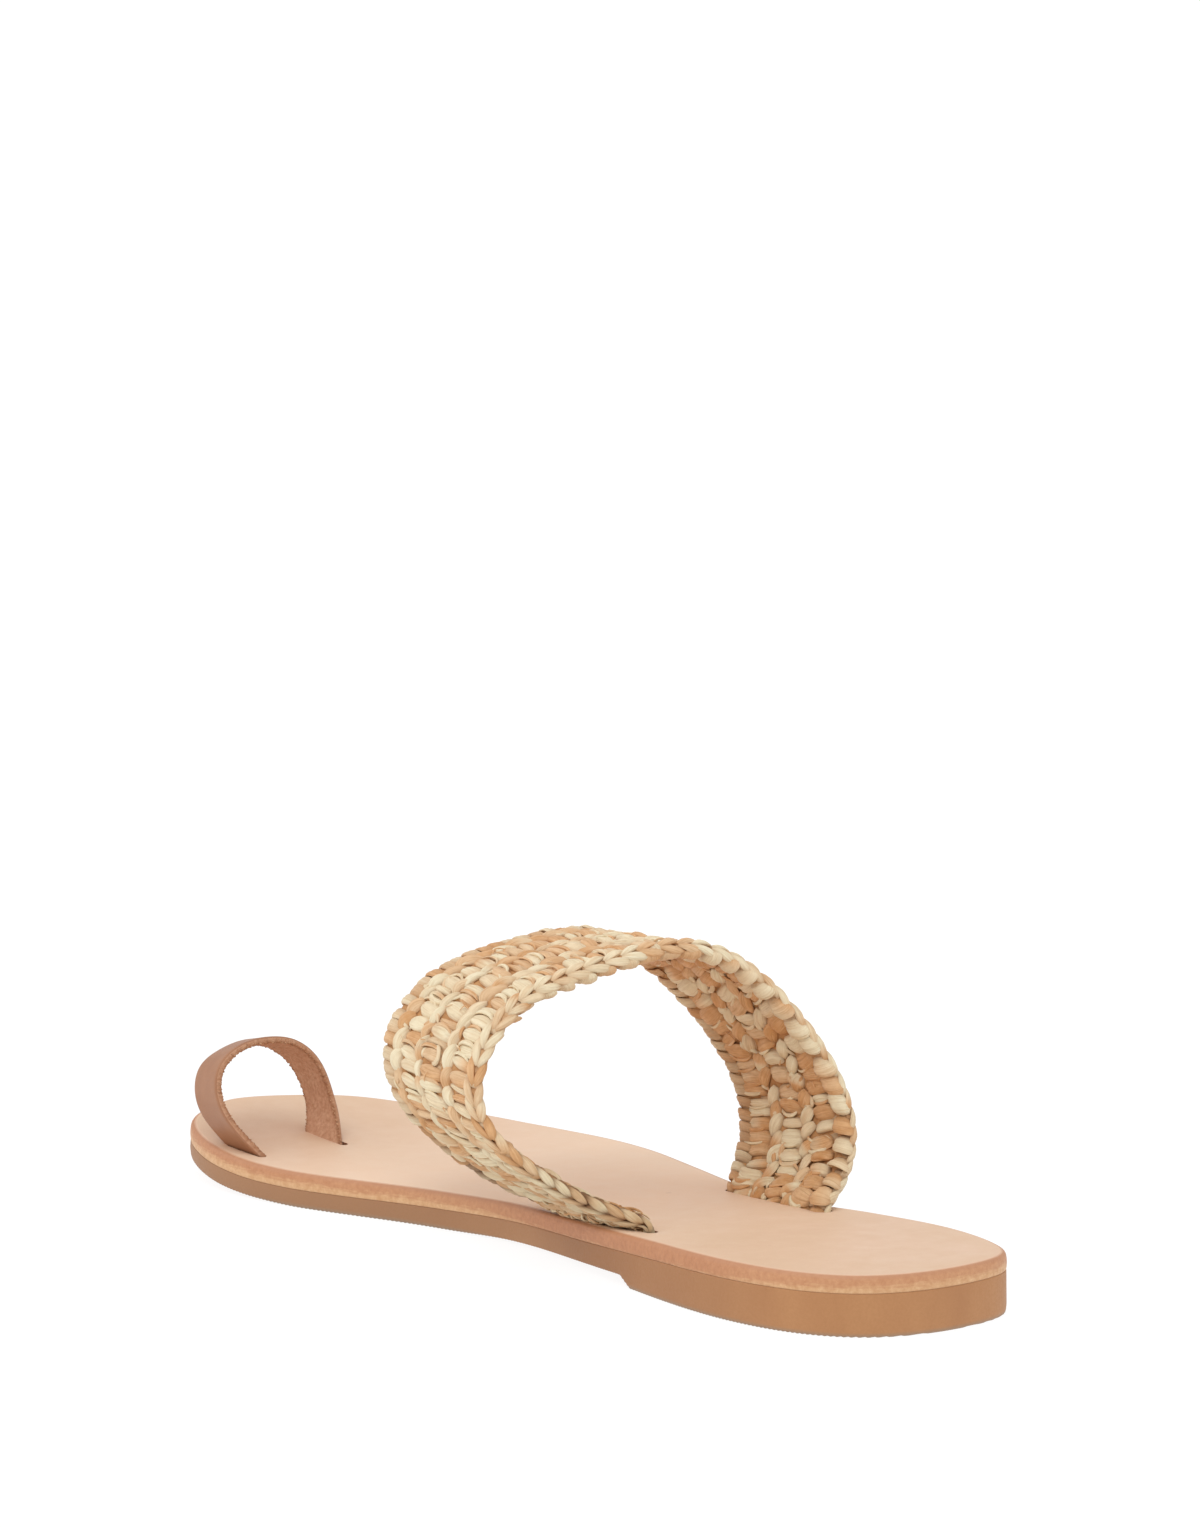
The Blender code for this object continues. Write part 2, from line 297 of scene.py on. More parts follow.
def blend(tree, share, a, b, how="MIX"):
    """Two colours mixed by a share."""
    node = add(tree, "ShaderNodeMix", {0: share, 6: a, 7: b}, data_type="RGBA", blend_type=how)
    return node.outputs[2]


def tinge(tree, tone, colour, value, low, high, most=1.0):
    """A tone that goes over to another colour as a value goes from low to high."""
    return blend(tree, spread(tree, value, low, high, 0.0, most), tone, colour)


print("a mid grey of 128 is", round(paint(128, 128, 128)[0], 3), "in linear light")

# %% Places, values and shaders


def stretched(tree, where, across, along, up):
    """Coordinates scaled by a different amount each way."""
    inputs = {0: where, 1: (across, along, up)}
    return add(tree, "ShaderNodeVectorMath", inputs, operation="MULTIPLY").outputs[0]


def millimetres(tree):
    """Places on the piece in millimetres."""
    spot = add(tree, "ShaderNodeTexCoord").outputs["Object"]
    return stretched(tree, spot, 1.0 / MM, 1.0 / MM, 1.0 / MM)


def read_points(tree, name, output="Fac"):
    """Values that were put on the points of the mesh."""
    return add(tree, "ShaderNodeAttribute", attribute_name=name).outputs[output]


def share_along(tree, spot, rows):
    """A share that changes along the sole, from rows of a place along it and a value."""
    ahead = add(tree, "ShaderNodeSeparateXYZ", {0: spot}).outputs[1]
    share = spread(tree, ahead, -SOLE_LENGTH / 2.0, SOLE_LENGTH / 2.0)
    ramp = add(tree, "ShaderNodeValToRGB", {0: share})
    stops = ramp.color_ramp.elements
    for along, _ in rows[1:-1]:
        stops.new(along / SOLE_LENGTH)
    for stop, (along, value) in zip(stops, rows):
        stop.position = along / SOLE_LENGTH
        stop.color = (value, value, value, 1.0)
    return ramp.outputs["Color"]


def relief(tree, height, strength, depth):
    """A bump whose depth is in millimetres."""
    inputs = {"Height": height, "Strength": strength, "Distance": depth * MM}
    return add(tree, "ShaderNodeBump", inputs).outputs[0]


def new_material(name, roughness, gloss=0.5):
    """A material with one principled shader, its plain roughness and how strongly it mirrors."""
    material = bpy.data.materials.new(name)
    material.use_nodes = True
    shader = material.node_tree.nodes["Principled BSDF"]
    shader.inputs["Roughness"].default_value = roughness
    shader.inputs["Specular IOR Level"].default_value = gloss
    return material, material.node_tree, shader


def feed(tree, shader, colour=None, roughness=None, normal=None):
    """Links what changes over the surface to the shader."""
    for key, socket in (("Base Color", colour), ("Roughness", roughness), ("Normal", normal)):
        if socket is not None:
            tree.links.new(socket, shader.inputs[key])


print("a relief of 0.1 mm is", 0.1 * MM, "m deep in the frame")

# %% Shared effects as node groups


def effect(name, inputs, outputs):
    """An empty node group with named inputs and outputs, each with its socket kind."""
    group = bpy.data.node_groups.new(name, "ShaderNodeTree")
    for label, kind in inputs.items():
        group.interface.new_socket(label, in_out="INPUT", socket_type=kind)
    for label, kind in outputs.items():
        group.interface.new_socket(label, in_out="OUTPUT", socket_type=kind)
    return group, group.nodes.new("NodeGroupInput").outputs, group.nodes.new("NodeGroupOutput").inputs


def use(tree, group, inputs):
    """The outputs of a shared effect in a material."""
    return add(tree, "ShaderNodeGroup", inputs, node_tree=group).outputs


VALUE = "NodeSocketFloat"
VECTOR = "NodeSocketVector"

grain, given, gives = effect(
    "leather_grain", {"Place": VECTOR, "Cell": VALUE}, {"Height": VALUE, "Pores": VALUE},
)
cells = add(grain, "ShaderNodeTexVoronoi", {"Vector": given["Place"], "Scale": given["Cell"]}, feature="F1")
pits = noise(grain, given["Place"], given["Cell"], 4.0, 0.65)
grain.links.new(work_out(grain, "SUBTRACT", pits, cells.outputs["Distance"]), gives["Height"])
grain.links.new(spread(grain, pits, 0.62, 0.8), gives["Pores"])

mottle, given, gives = effect("hide_mottle", {"Place": VECTOR, "Patch": VALUE}, {"Share": VALUE})
patches = noise(mottle, given["Place"], given["Patch"], 5.0, 0.6)
mottle.links.new(spread(mottle, patches, 0.32, 0.68), gives["Share"])

streaks, given, gives = effect(
    "drawn_streaks", {"Place": VECTOR, "Fine": VALUE}, {"Share": VALUE, "Height": VALUE},
)
coarse = noise(streaks, given["Place"], given["Fine"], 3.0, 0.7)
streaks.links.new(spread(streaks, coarse, 0.3, 0.7), gives["Share"])
streaks.links.new(coarse, gives["Height"])


def patchy(tree, spot, patch):
    """The slow mottling of a hide; a bigger patch value makes smaller patches."""
    return use(tree, mottle, {"Place": spot, "Patch": patch})["Share"]


print("shared effects:", grain.name, mottle.name, streaks.name)

# %% [markdown]
# ## Floor and light
# A product photograph is lit by big soft boxes in a white room. Wide suns stand for the boxes here, because
# their light doesn't fade with distance, so the floor stays evenly white right up to the horizon. The key
# comes from above the camera and shapes the stitches, and the others keep shadows open. The floor is white
# mostly by its own glow, as a light table is, so hardly any shadow is left round the sole.

# %% Floor, world and lamps
FLOOR_SIDE = 60.0
LAMPS = [
    # name, azimuth, elevation, width in degrees, strength
    ("key_box", -55.0, 55.0, 45.0, 0.78),
    ("fill_box", -135.0, 25.0, 70.0, 0.62),
    ("top_box", 150.0, 70.0, 60.0, 0.45),
    ("back_box", 35.0, 15.0, 60.0, 0.38),
]
WORLD_LIGHT = 0.68
FLOOR_GREY = (0.1, 0.1, 0.1, 1.0)
FLOOR_GLOW = 0.91

bpy.context.scene.view_settings.view_transform = "Standard"
world = bpy.data.worlds.new("white_room")
world.use_nodes = True
world.node_tree.nodes["Background"].inputs["Color"].default_value = (1.0, 1.0, 1.0, 1.0)
world.node_tree.nodes["Background"].inputs["Strength"].default_value = WORLD_LIGHT
bpy.context.scene.world = world

corners = [(x, y, 0.0) for x, y in ((-1, -1), (1, -1), (1, 1), (-1, 1))]
floor_paint, tree, shader = new_material("floor_paint", 0.9)
shader.inputs["Base Color"].default_value = FLOOR_GREY
shader.inputs["Emission Color"].default_value = (1.0, 1.0, 1.0, 1.0)
shader.inputs["Emission Strength"].default_value = FLOOR_GLOW
floor = mesh_piece("floor", np.array(corners) * FLOOR_SIDE / 2.0, np.array([(0, 1, 2, 3)]), [floor_paint])

for name, azimuth, elevation, width, strength in LAMPS:
    lamp_data = bpy.data.lights.new(name, "SUN")
    lamp_data.angle = math.radians(width)
    lamp_data.energy = strength
    lamp = bpy.data.objects.new(name, lamp_data)
    lamp.matrix_world = aimed(toward(azimuth, elevation), target)
    bpy.context.scene.collection.objects.link(lamp)
print(len(LAMPS), "lamps and a world of", WORLD_LIGHT)

# %% [markdown]
# ## Outline and side view of the sole
# Footbed and sole share one plan, and the strap ends need the height of the footbed under them, so these
# curves come before any piece. The plan runs over a half turn from heel to toe, which makes both ends round.

# %% Sole curves
BED_THICKNESS = 4.0
GLUE_LINE = 0.03
HEEL_BREAST = 75.6
BREAST_RUN = 4.6
HEEL_STEP = 2.3
OUTLINE = [
    # along, medial, lateral
    (0.0, 0.0, 0.0),
    (3.8, -16.6, 18.8),
    (12.5, -25.6, 26.2),
    (25.0, -30.6, 29.6),
    (40.0, -32.6, 30.7),
    (70.0, -30.4, 28.2),
    (100.0, -25.6, 29.6),
    (130.0, -22.1, 37.2),
    (160.0, -26.8, 45.2),
    (175.0, -31.9, 46.6),
    (190.0, -36.9, 45.4),
    (205.0, -40.1, 41.5),
    (220.0, -40.2, 34.6),
    (232.5, -36.9, 25.0),
    (242.5, -30.1, 13.2),
    (247.5, -21.6, 0.6),
    (250.0, -12.8, -12.8),
]
UNDERSIDE = [
    # along, ground clearance
    (HEEL_BREAST + BREAST_RUN, HEEL_STEP),
    (92.0, 1.9),
    (105.0, 1.5),
    (130.0, 0.8),
    (152.0, 0.0),
    (190.0, 0.0),
    (203.0, 0.4),
    (215.0, 1.2),
    (230.0, 3.0),
    (242.0, 4.9),
    (250.0, 6.2),
]
BED_TOP = [
    # along, height
    (0.0, 13.9),
    (30.0, 13.6),
    (60.0, 12.9),
    (78.0, 12.0),
    (105.0, 10.5),
    (130.0, 9.5),
    (152.0, 8.7),
    (190.0, 8.3),
    (203.0, 8.6),
    (215.0, 9.4),
    (230.0, 11.0),
    (242.0, 12.8),
    (250.0, 14.0),
]


def swing(along):
    """Share of a half turn from heel to toe."""
    return np.arccos(np.clip(1.0 - 2.0 * np.asarray(along, float) / SOLE_LENGTH, -1.0, 1.0)) / math.pi


edges = spline([float(swing(row[0])) for row in OUTLINE], [row[1:] for row in OUTLINE])
bed_top = level_curve(BED_TOP)
underside_ahead = level_curve(UNDERSIDE)


def underside(along):
    """The flat heel, its sloping breast, then the waist and forefoot."""
    slope = HEEL_STEP * np.clip((along - HEEL_BREAST) / BREAST_RUN, 0.0, 1.0)
    return np.where(along < HEEL_BREAST + BREAST_RUN, slope, underside_ahead(along))


def plan_ring(stations):
    """The plan as one closed ring, up the medial side and down the lateral, with its inward side."""
    both = edges(swing(stations))
    medial = np.stack([both[:, 0], stations], axis=1)
    lateral = np.stack([both[:, 1], stations], axis=1)[1:-1]
    ring = np.concatenate([medial, lateral[::-1]])
    heading = np.roll(ring, -1, axis=0) - np.roll(ring, 1, axis=0)
    return ring, unit(np.stack([heading[:, 1], -heading[:, 0]], axis=1))


print("ball width", round(float(np.ptp(edges(swing(175.0)))), 1), "mm")
print("heel width", round(float(np.ptp(edges(swing(40.0)))), 1), "mm")

# %% [markdown]
# ## The rubber sole
# The sole is moulded in one block with a low heel. Its underside has fine ribs from side to side, which show
# along the bottom edge as a row of small teeth. They are cut upwards from the floor plane, so the sole
# still stands where the solid stands. A loft through rings does it: each ring is the plan, a little inset
# or raised, and the stations are close enough together for every rib to have its own corners.

# %% Loft for the layers of the sole
END_TURN = 4.0


def sole_stations(pitch, end):
    """Places along the sole: even in the middle, and closer towards both round ends."""
    turns = np.linspace(0.0, 1.0, round(4.0 * end / pitch))
    nose = end * (1.0 - np.cos(turns * math.pi / 2.0))
    middle = np.arange(end, SOLE_LENGTH - end, pitch)[1:]
    return np.concatenate([nose, middle, SOLE_LENGTH - nose[::-1]])


def layer_rings(wall, stations, bottom, top):
    """Rings of a layer from the bottom up, one for each row of a table of its wall."""
    ring, inward = plan_ring(stations)
    rings = []
    for inset, above, below in wall:
        flat = ring + inward * inset
        along = np.clip(flat[:, 1], 0.0, SOLE_LENGTH)
        height = bottom(along) + above if below is None else top(along) - below
        rings.append(np.concatenate([flat, height[:, None]], axis=1))
    return rings


def slab(rings, columns):
    """Points and quads of a closed layer from its rings, with columns of quads across its bottom and top.
    The last array tells the band of the wall a quad is in, or -1 on the bottom and the most on the top."""
    count = len(rings[0])
    half = count // 2
    points = [np.concatenate(rings)]
    ids = np.arange(len(rings) * count).reshape(len(rings), count)
    turned = np.roll(ids, -1, axis=1)
    faces = [np.stack([ids[:-1], turned[:-1], turned[1:], ids[1:]], axis=-1).reshape(-1, 4)]
    kinds = [np.repeat(np.arange(len(rings) - 1), count)]
    used = len(rings) * count
    for level, wide, is_bottom in ((0, columns[0], True), (len(rings) - 1, columns[1], False)):
        left = ids[level, 1:half]
        right = ids[level, count - 1:half:-1]
        shares = np.linspace(0.0, 1.0, wide + 1)[1:-1]
        a, b = rings[level][1:half], rings[level][count - 1:half:-1]
        inner = a[:, None] + (b - a)[:, None] * shares[None, :, None]
        inner_ids = used + np.arange(inner.shape[0] * inner.shape[1]).reshape(inner.shape[:2])
        used += inner_ids.size
        points.append(inner.reshape(-1, 3))
        grid = np.concatenate([left[:, None], inner_ids, right[:, None]], axis=1)
        heel = np.full(wide, ids[level, 0])
        toe = np.full(wide, ids[level, half])
        corners = [grid[:-1, :-1], grid[1:, :-1], grid[1:, 1:], grid[:-1, 1:]]
        quads = [np.stack(corners, axis=-1).reshape(-1, 4)]
        quads.append(np.stack([heel, grid[0, :-1], grid[0, 1:], heel], axis=-1))
        quads.append(np.stack([grid[-1, :-1], toe, toe, grid[-1, 1:]], axis=-1))
        quads = np.concatenate(quads)
        faces.append(quads if is_bottom else quads[:, ::-1])
        kinds.append(np.full(len(quads), -1 if is_bottom else len(rings)))
    return np.concatenate(points), np.concatenate(faces), np.concatenate(kinds)


print("stations along the sole at a pitch of 5 mm:", len(sole_stations(5.0, END_TURN)))

# %% Rubber sole with its ribs
RIB_PITCH = 1.15
RIB_DEPTH = 0.35
RIB_STEEP = 1.6
RIB_FLAT = 0.5
# shares of a groove's depth that the three lowest rings of the wall follow
RIB_SHARES = (1.0, 0.8, 0.25)
SOLE_FOLD = 50.0
SOLE_WALL = [
    # inset, height above the bottom or below the top
    (0.5, 0.0, None),
    (0.12, 0.25, None),
    (0.0, 0.7, None),
    (-0.12, 2.0, None),
    (0.0, None, 0.4),
    (0.05, None, 0.08),
    (0.15, None, 0.0),
]


def rib_lift(along):
    """How far the tread's grooves reach up at a place along the sole."""
    wave = np.abs((along / RIB_PITCH) % 1.0 - 0.5) * 2.0
    return RIB_DEPTH * np.clip(RIB_STEEP * wave - RIB_FLAT, 0.0, 1.0)


def outsole_top(along):
    """The sole's top, which lies a glue line under the footbed."""
    return bed_top(along) - BED_THICKNESS - GLUE_LINE


stations = sole_stations(RIB_PITCH / 4.0, END_TURN)
rings = layer_rings(SOLE_WALL, stations, underside, outsole_top)
for ring, share in zip(rings, RIB_SHARES):
    ring[:, 2] += rib_lift(ring[:, 1]) * share
sole_points, sole_faces, _ = slab(rings, (2, 2))
print("sole stations", len(stations), "ribs", round(SOLE_LENGTH / RIB_PITCH))

# %% Rubber
# painted shade: the rubber is painted darker along the waist, where less light reaches it
WAIST_SHADE = [
    # along, how much painted shade darkens the rubber
    (0, 0.0), (20, 0.0), (40, 0.5), (70, 0.7), (85, 1.0), (102, 1.0), (122, 0.2), (250, 0.0),
]
RUBBER_TANS = paint(173, 119, 74), paint(187, 134, 87)
SPECK_BROWN = paint(168, 117, 73)
WAIST_SHADE_BROWN = paint(154, 104, 63)
FOREFOOT_BROWN = paint(154, 111, 77)
BOTTOM_GREY = paint(150, 126, 104)
rubber, tree, shader = new_material("gum_rubber", 0.55)
spot = millimetres(tree)
rub_share = patchy(tree, stretched(tree, spot, 1.0, 1.0, 0.35), 0.05)
speck = noise(tree, spot, 1.6, 3.0, 0.6)
tone = blend(tree, rub_share, *RUBBER_TANS)
tone = tinge(tree, tone, SPECK_BROWN, speck, 0.35, 0.7, 0.35)
# painted shade along the waist
tone = blend(tree, share_along(tree, spot, WAIST_SHADE), tone, WAIST_SHADE_BROWN)
where = add(tree, "ShaderNodeSeparateXYZ", {0: spot})
tone = tinge(tree, tone, FOREFOOT_BROWN, where.outputs[1], -40.0, 40.0, 0.8)
# greyer towards the bottom edge, over its lowest millimetre or so
bottom_grey_share = spread(tree, where.outputs[2], 0.2, 1.2, 0.8, 0.0)
tone = blend(tree, bottom_grey_share, tone, BOTTOM_GREY)
feed(tree, shader, colour=tone, normal=relief(tree, noise(tree, spot, 2.2, 5.0, 0.6), 0.35, 0.12))
feed(tree, shader, roughness=spread(tree, speck, 0.3, 0.7, 0.48, 0.62))

sole = mesh_piece("rubber_sole", place(sole_points), sole_faces, [rubber], sharp=SOLE_FOLD)
dress(sole, "outsole")

# %% [markdown]
# ## The leather footbed
# A footbed is cut from thick vegetable-tanned leather: a pale smooth grain on top, painted paler along its
# middle as painted light against the straps' shade, and a burnished edge all round, darkest at the waist
# from a darker burnish and from painted shade under the band, with some raw gold left near the bottom where
# the brush didn't reach. The straps go down through four slits, and the leather sinks a little beside each.
# The layer is a loft like the sole, with a fine grid on top for those hollows, and a Boolean cuts the slits
# out of it.

# %% Straps enter the footbed here
BAND_PATH = [
    # heel-side rim across, along, up, toe-side rim across, along, up
    (-21.7, 77.8, None, -18.3, 116.6, None),
    (-24.8, 82.2, 15.4, -21.3, 121.0, 13.5),
    (-37.6, 98.7, 23.8, -33.5, 137.4, 23.1),
    (-43.6, 113.4, 38.4, -39.2, 152.0, 39.0),
    (-32.3, 117.5, 55.2, -28.7, 156.3, 54.9),
    (-8.7, 113.8, 65.0, -5.4, 152.7, 64.0),
    (16.4, 107.2, 67.1, 19.2, 145.9, 63.9),
    (34.2, 96.6, 51.6, 36.0, 135.3, 47.1),
    (38.9, 83.0, 30.4, 39.9, 122.2, 28.0),
    (27.4, 73.6, 16.4, 30.5, 112.3, 14.0),
    (22.6, 71.2, None, 26.8, 109.9, None),
]
LOOP_PATH = [
    # heel-side edge across, along, up, toe-side edge across, along, up
    (-33.7, 211.3, None, -34.6, 221.8, None),
    (-37.2, 215.3, 14.9, -37.2, 227.6, 15.8),
    (-39.4, 218.1, 21.2, -37.3, 231.1, 21.0),
    (-38.1, 219.7, 28.2, -35.1, 232.6, 26.0),
    (-31.9, 220.6, 32.5, -29.9, 233.2, 28.9),
    (-23.0, 220.9, 33.5, -22.0, 233.6, 30.6),
    (-16.0, 220.5, 32.0, -16.1, 233.2, 29.8),
    (-10.6, 219.3, 27.1, -10.9, 231.8, 26.4),
    (-8.1, 217.3, 19.2, -7.5, 229.9, 20.0),
    (-8.1, 215.1, 14.4, -7.5, 227.5, 15.4),
    (-9.9, 211.5, None, -10.4, 223.2, None),
]
SLITS = [
    # strap's end, half width, how far it is open past the strap's heel side
    (BAND_PATH[0], 1.5, 0.4),
    (BAND_PATH[-1], 1.85, 0.5),
    (LOOP_PATH[0], 1.1, 1.2),
    (LOOP_PATH[-1], 1.1, 1.2),
]
TOE_SIDE_OPEN = -0.9


def slit_line(row, open_end):
    """The ends of a slit's straight part in plan. Its round ends reach a little past the strap."""
    heel_side = np.array(row[0:2])
    toe_side = np.array(row[3:5])
    run = unit(toe_side - heel_side)
    return heel_side - run * open_end, toe_side + run * TOE_SIDE_OPEN


print(len(SLITS), "slits")

# %% Footbed with hollows beside its slits
BED_PITCH = 1.1
BED_COLUMNS = 72
HOLLOW_DEPTH = 0.35
HOLLOW_REACH = 3.2
TOP_SHARE = 0.97
BED_WALL = [
    # inset, height above the bottom or below the top
    (0.12, 0.0, None),
    (0.03, 0.08, None),
    (-0.02, 0.4, None),
    (-0.1, 1.5, None),
    (0.0, None, 1.4),
    (0.12, None, 0.8),
    (0.4, None, 0.35),
    (0.85, None, 0.1),
    (1.5, None, 0.0),
]


def bed_underside(along):
    """The footbed's lower face."""
    return bed_top(along) - BED_THICKNESS


def edge_share(points):
    """How far up the footbed's edge points lie, from 0 at the glue line to 1 at the top."""
    return (points[:, 2] - bed_underside(np.clip(points[:, 1], 0.0, SOLE_LENGTH))) / BED_THICKNESS


def from_line(points, start, end):
    """Distance in plan from points to a straight line between two places."""
    run = end - start
    share = np.clip((points - start) @ run / (run @ run), 0.0, 1.0)
    return np.linalg.norm(points - start - share[:, None] * run, axis=1)


rings = layer_rings(BED_WALL, sole_stations(BED_PITCH, END_TURN), bed_underside, bed_top)
bed_points, bed_faces, bed_kinds = slab(rings, (2, BED_COLUMNS))
on_top = edge_share(bed_points) > TOP_SHARE
for row, half, open_end in SLITS:
    apart = from_line(bed_points[:, :2], *slit_line(row, open_end))
    bed_points[:, 2] -= on_top * HOLLOW_DEPTH * bell(apart, 0.0, HOLLOW_REACH)
print("footbed points", len(bed_points))

# %% Footbed leather
HIDE_TANS = paint(218, 185, 154), paint(224, 191, 164)
CLOUD_TAN = paint(214, 178, 148)
PORE_TAN = paint(197, 156, 125)
MIDDLE_PAINTED_LIGHT = paint(243, 212, 184)
FLECK_BROWN = paint(176, 138, 110)
bed_leather, tree, shader = new_material("bed_leather", 0.5, 0.4)
spot = millimetres(tree)
cloud = patchy(tree, spot, 0.16)
skin = use(tree, grain, {"Place": spot, "Cell": 1.5})
tone = blend(tree, patchy(tree, spot, 0.035), *HIDE_TANS)
tone = tinge(tree, tone, CLOUD_TAN, cloud, 0.0, 1.0, 0.4)
tone = tinge(tree, tone, PORE_TAN, skin["Pores"], 0.0, 1.0, 0.25)
ahead = add(tree, "ShaderNodeSeparateXYZ", {0: spot}).outputs[1]
# painted light: the top is painted paler along its middle, under the straps, to lift their shade
pale = times(tree, spread(tree, ahead, -70.0, -15.0), spread(tree, ahead, 95.0, 50.0))
tone = blend(tree, times(tree, pale, 0.75), tone, MIDDLE_PAINTED_LIGHT)
tone = tinge(tree, tone, FLECK_BROWN, noise(tree, spot, 0.28, 1.0, 0.4), 0.79, 0.83, 0.3)
feed(tree, shader, colour=tone, normal=relief(tree, skin["Height"], 0.22, 0.10))
feed(tree, shader, roughness=spread(tree, cloud, 0.0, 1.0, 0.44, 0.58))
print("footbed finish:", bed_leather.name)

# %% Burnished edge and cut leather
EDGE_DARK_AND_SHADE = [
    # along, how much darker the edge is, from a darker burnish and from painted shade under the band
    (0, 0.0), (25, 0.1), (45, 0.7), (80, 0.9), (112, 1.0), (135, 0.35), (152, 0.1), (185, 0.3),
    (215, 0.6), (250, 0.6),
]
LEFT_RAW = [
    # along, share of the edge's height that was left raw
    (0, 0.36), (12, 0.33), (35, 0.12), (60, 0.0), (115, 0.0), (135, 0.2), (160, 0.42), (250, 0.46),
]
EDGE_BROWNS = paint(191, 133, 92), paint(205, 151, 109)
WAIST_BURNISH_AND_SHADE = paint(174, 113, 73), paint(190, 129, 88)
RAW_GOLDS = paint(206, 156, 108), paint(226, 186, 140)
UPPER_BROWN = paint(186, 132, 98)
CORNER_PALE_HIGHLIGHT = paint(228, 192, 162)
GLUE_BROWN = paint(160, 112, 78)
CUT_BROWNS = paint(150, 96, 66), paint(176, 122, 88)
burnish, tree, shader = new_material("burnished_edge", 0.5)
spot = millimetres(tree)
level = read_points(tree, "edge_share")
drawn = use(tree, streaks, {"Place": stretched(tree, spot, 0.22, 0.22, 2.2), "Fine": 1.0})
fuzz = patchy(tree, spot, 0.9)
wander = work_out(tree, "ADD", level, spread(tree, drawn["Share"], 0.0, 1.0, -0.16, 0.16))
tone = blend(tree, fuzz, *EDGE_BROWNS)
# a darker burnish at the waist, with painted shade under the band
darker = blend(tree, fuzz, *WAIST_BURNISH_AND_SHADE)
tone = blend(tree, share_along(tree, spot, EDGE_DARK_AND_SHADE), tone, darker)
tone = tinge(tree, tone, UPPER_BROWN, level, 0.72, 0.9, 0.6)
# the pale grain of the top over the rounded corner, with a painted highlight along it
tone = tinge(tree, tone, CORNER_PALE_HIGHLIGHT, level, 0.965, 1.0)
worn = spread(tree, patchy(tree, spot, 0.03), 0.0, 1.0, -0.1, 0.1)
left_raw = work_out(tree, "ADD", share_along(tree, spot, LEFT_RAW), worn)
raw = spread(tree, work_out(tree, "SUBTRACT", left_raw, wander), -0.14, 0.18)
gold = blend(tree, fuzz, *RAW_GOLDS)
tone = blend(tree, times(tree, raw, 0.75), tone, gold)
tone = tinge(tree, tone, GLUE_BROWN, level, 0.06, 0.0, 0.5)
feed(tree, shader, colour=tone, normal=relief(tree, work_out(tree, "ADD", drawn["Height"], fuzz), 0.4, 0.15))

cut_leather, tree, shader = new_material("cut_leather", 0.9)
nap = patchy(tree, millimetres(tree), 1.5)
feed(tree, shader, colour=blend(tree, nap, *CUT_BROWNS))
print("edge finishes:", burnish.name, cut_leather.name)

# %% Cut the slits
CUT_REACH = 9.0
CUT_CORNERS = 8
BED_FOLD = 40.0
TOP, EDGE, CUT = 0, 1, 2


def slit_prism(row, half, open_end):
    """A tall prism with round ends around a slit's line."""
    start, end = slit_line(row, open_end)
    run = unit(end - start)
    lead = math.atan2(run[1], run[0])
    turns = np.linspace(-math.pi / 2.0, math.pi / 2.0, CUT_CORNERS)
    round_end = [end + half * np.array([math.cos(lead + t), math.sin(lead + t)]) for t in turns]
    round_start = [start - half * np.array([math.cos(lead + t), math.sin(lead + t)]) for t in turns]
    flat = np.array(round_end + round_start)
    middle = float(bed_top((start[1] + end[1]) / 2.0))
    heights = [np.full(len(flat), middle + lift) for lift in (-CUT_REACH, CUT_REACH)]
    return np.concatenate([np.column_stack([flat, height]) for height in heights])


prisms = np.stack([slit_prism(*slit) for slit in SLITS])
prism_faces = tube_faces(len(SLITS), 2, 2 * CUT_CORNERS)
bed_finishes = [bed_leather, burnish, cut_leather]
cut_picks = np.full(len(prism_faces), CUT)
cutter = mesh_piece("slit_cutter", place(prisms.reshape(-1, 3)), prism_faces, bed_finishes, cut_picks)
on_wall = (bed_kinds >= 0) & (bed_kinds < len(BED_WALL) - 1)
bed = mesh_piece("leather_bed", place(bed_points), bed_faces, bed_finishes, np.where(on_wall, EDGE, TOP))
cut = bed.modifiers.new("slits", "BOOLEAN")
cut.operation = "DIFFERENCE"
cut.object = cutter
settled = bpy.data.meshes.new_from_object(bed.evaluated_get(bpy.context.evaluated_depsgraph_get()))
bed.modifiers.clear()
bed.data = settled
bed.data.set_sharp_from_angle(angle=math.radians(BED_FOLD))
bpy.data.objects.remove(cutter)
settled_points = np.zeros(3 * len(settled.vertices))
settled.vertices.foreach_get("co", settled_points)
point_values(bed, "edge_share", edge_share(settled_points.reshape(-1, 3) / MM + ORIGIN))
dress(bed, "footbed")

# %% [markdown]
# ## Straps on a curved surface
# Both straps are drawn in flat strap coordinates first: length along, across from the heel side to the toe
# side, and out from the middle of the wall. A function then lays any such point on the curved strap. That
# way a stitch is a simple little arch, and the strap's own curve does the rest.

# %% Lay flat points on a strap
FRAME_SAMPLES = 1500


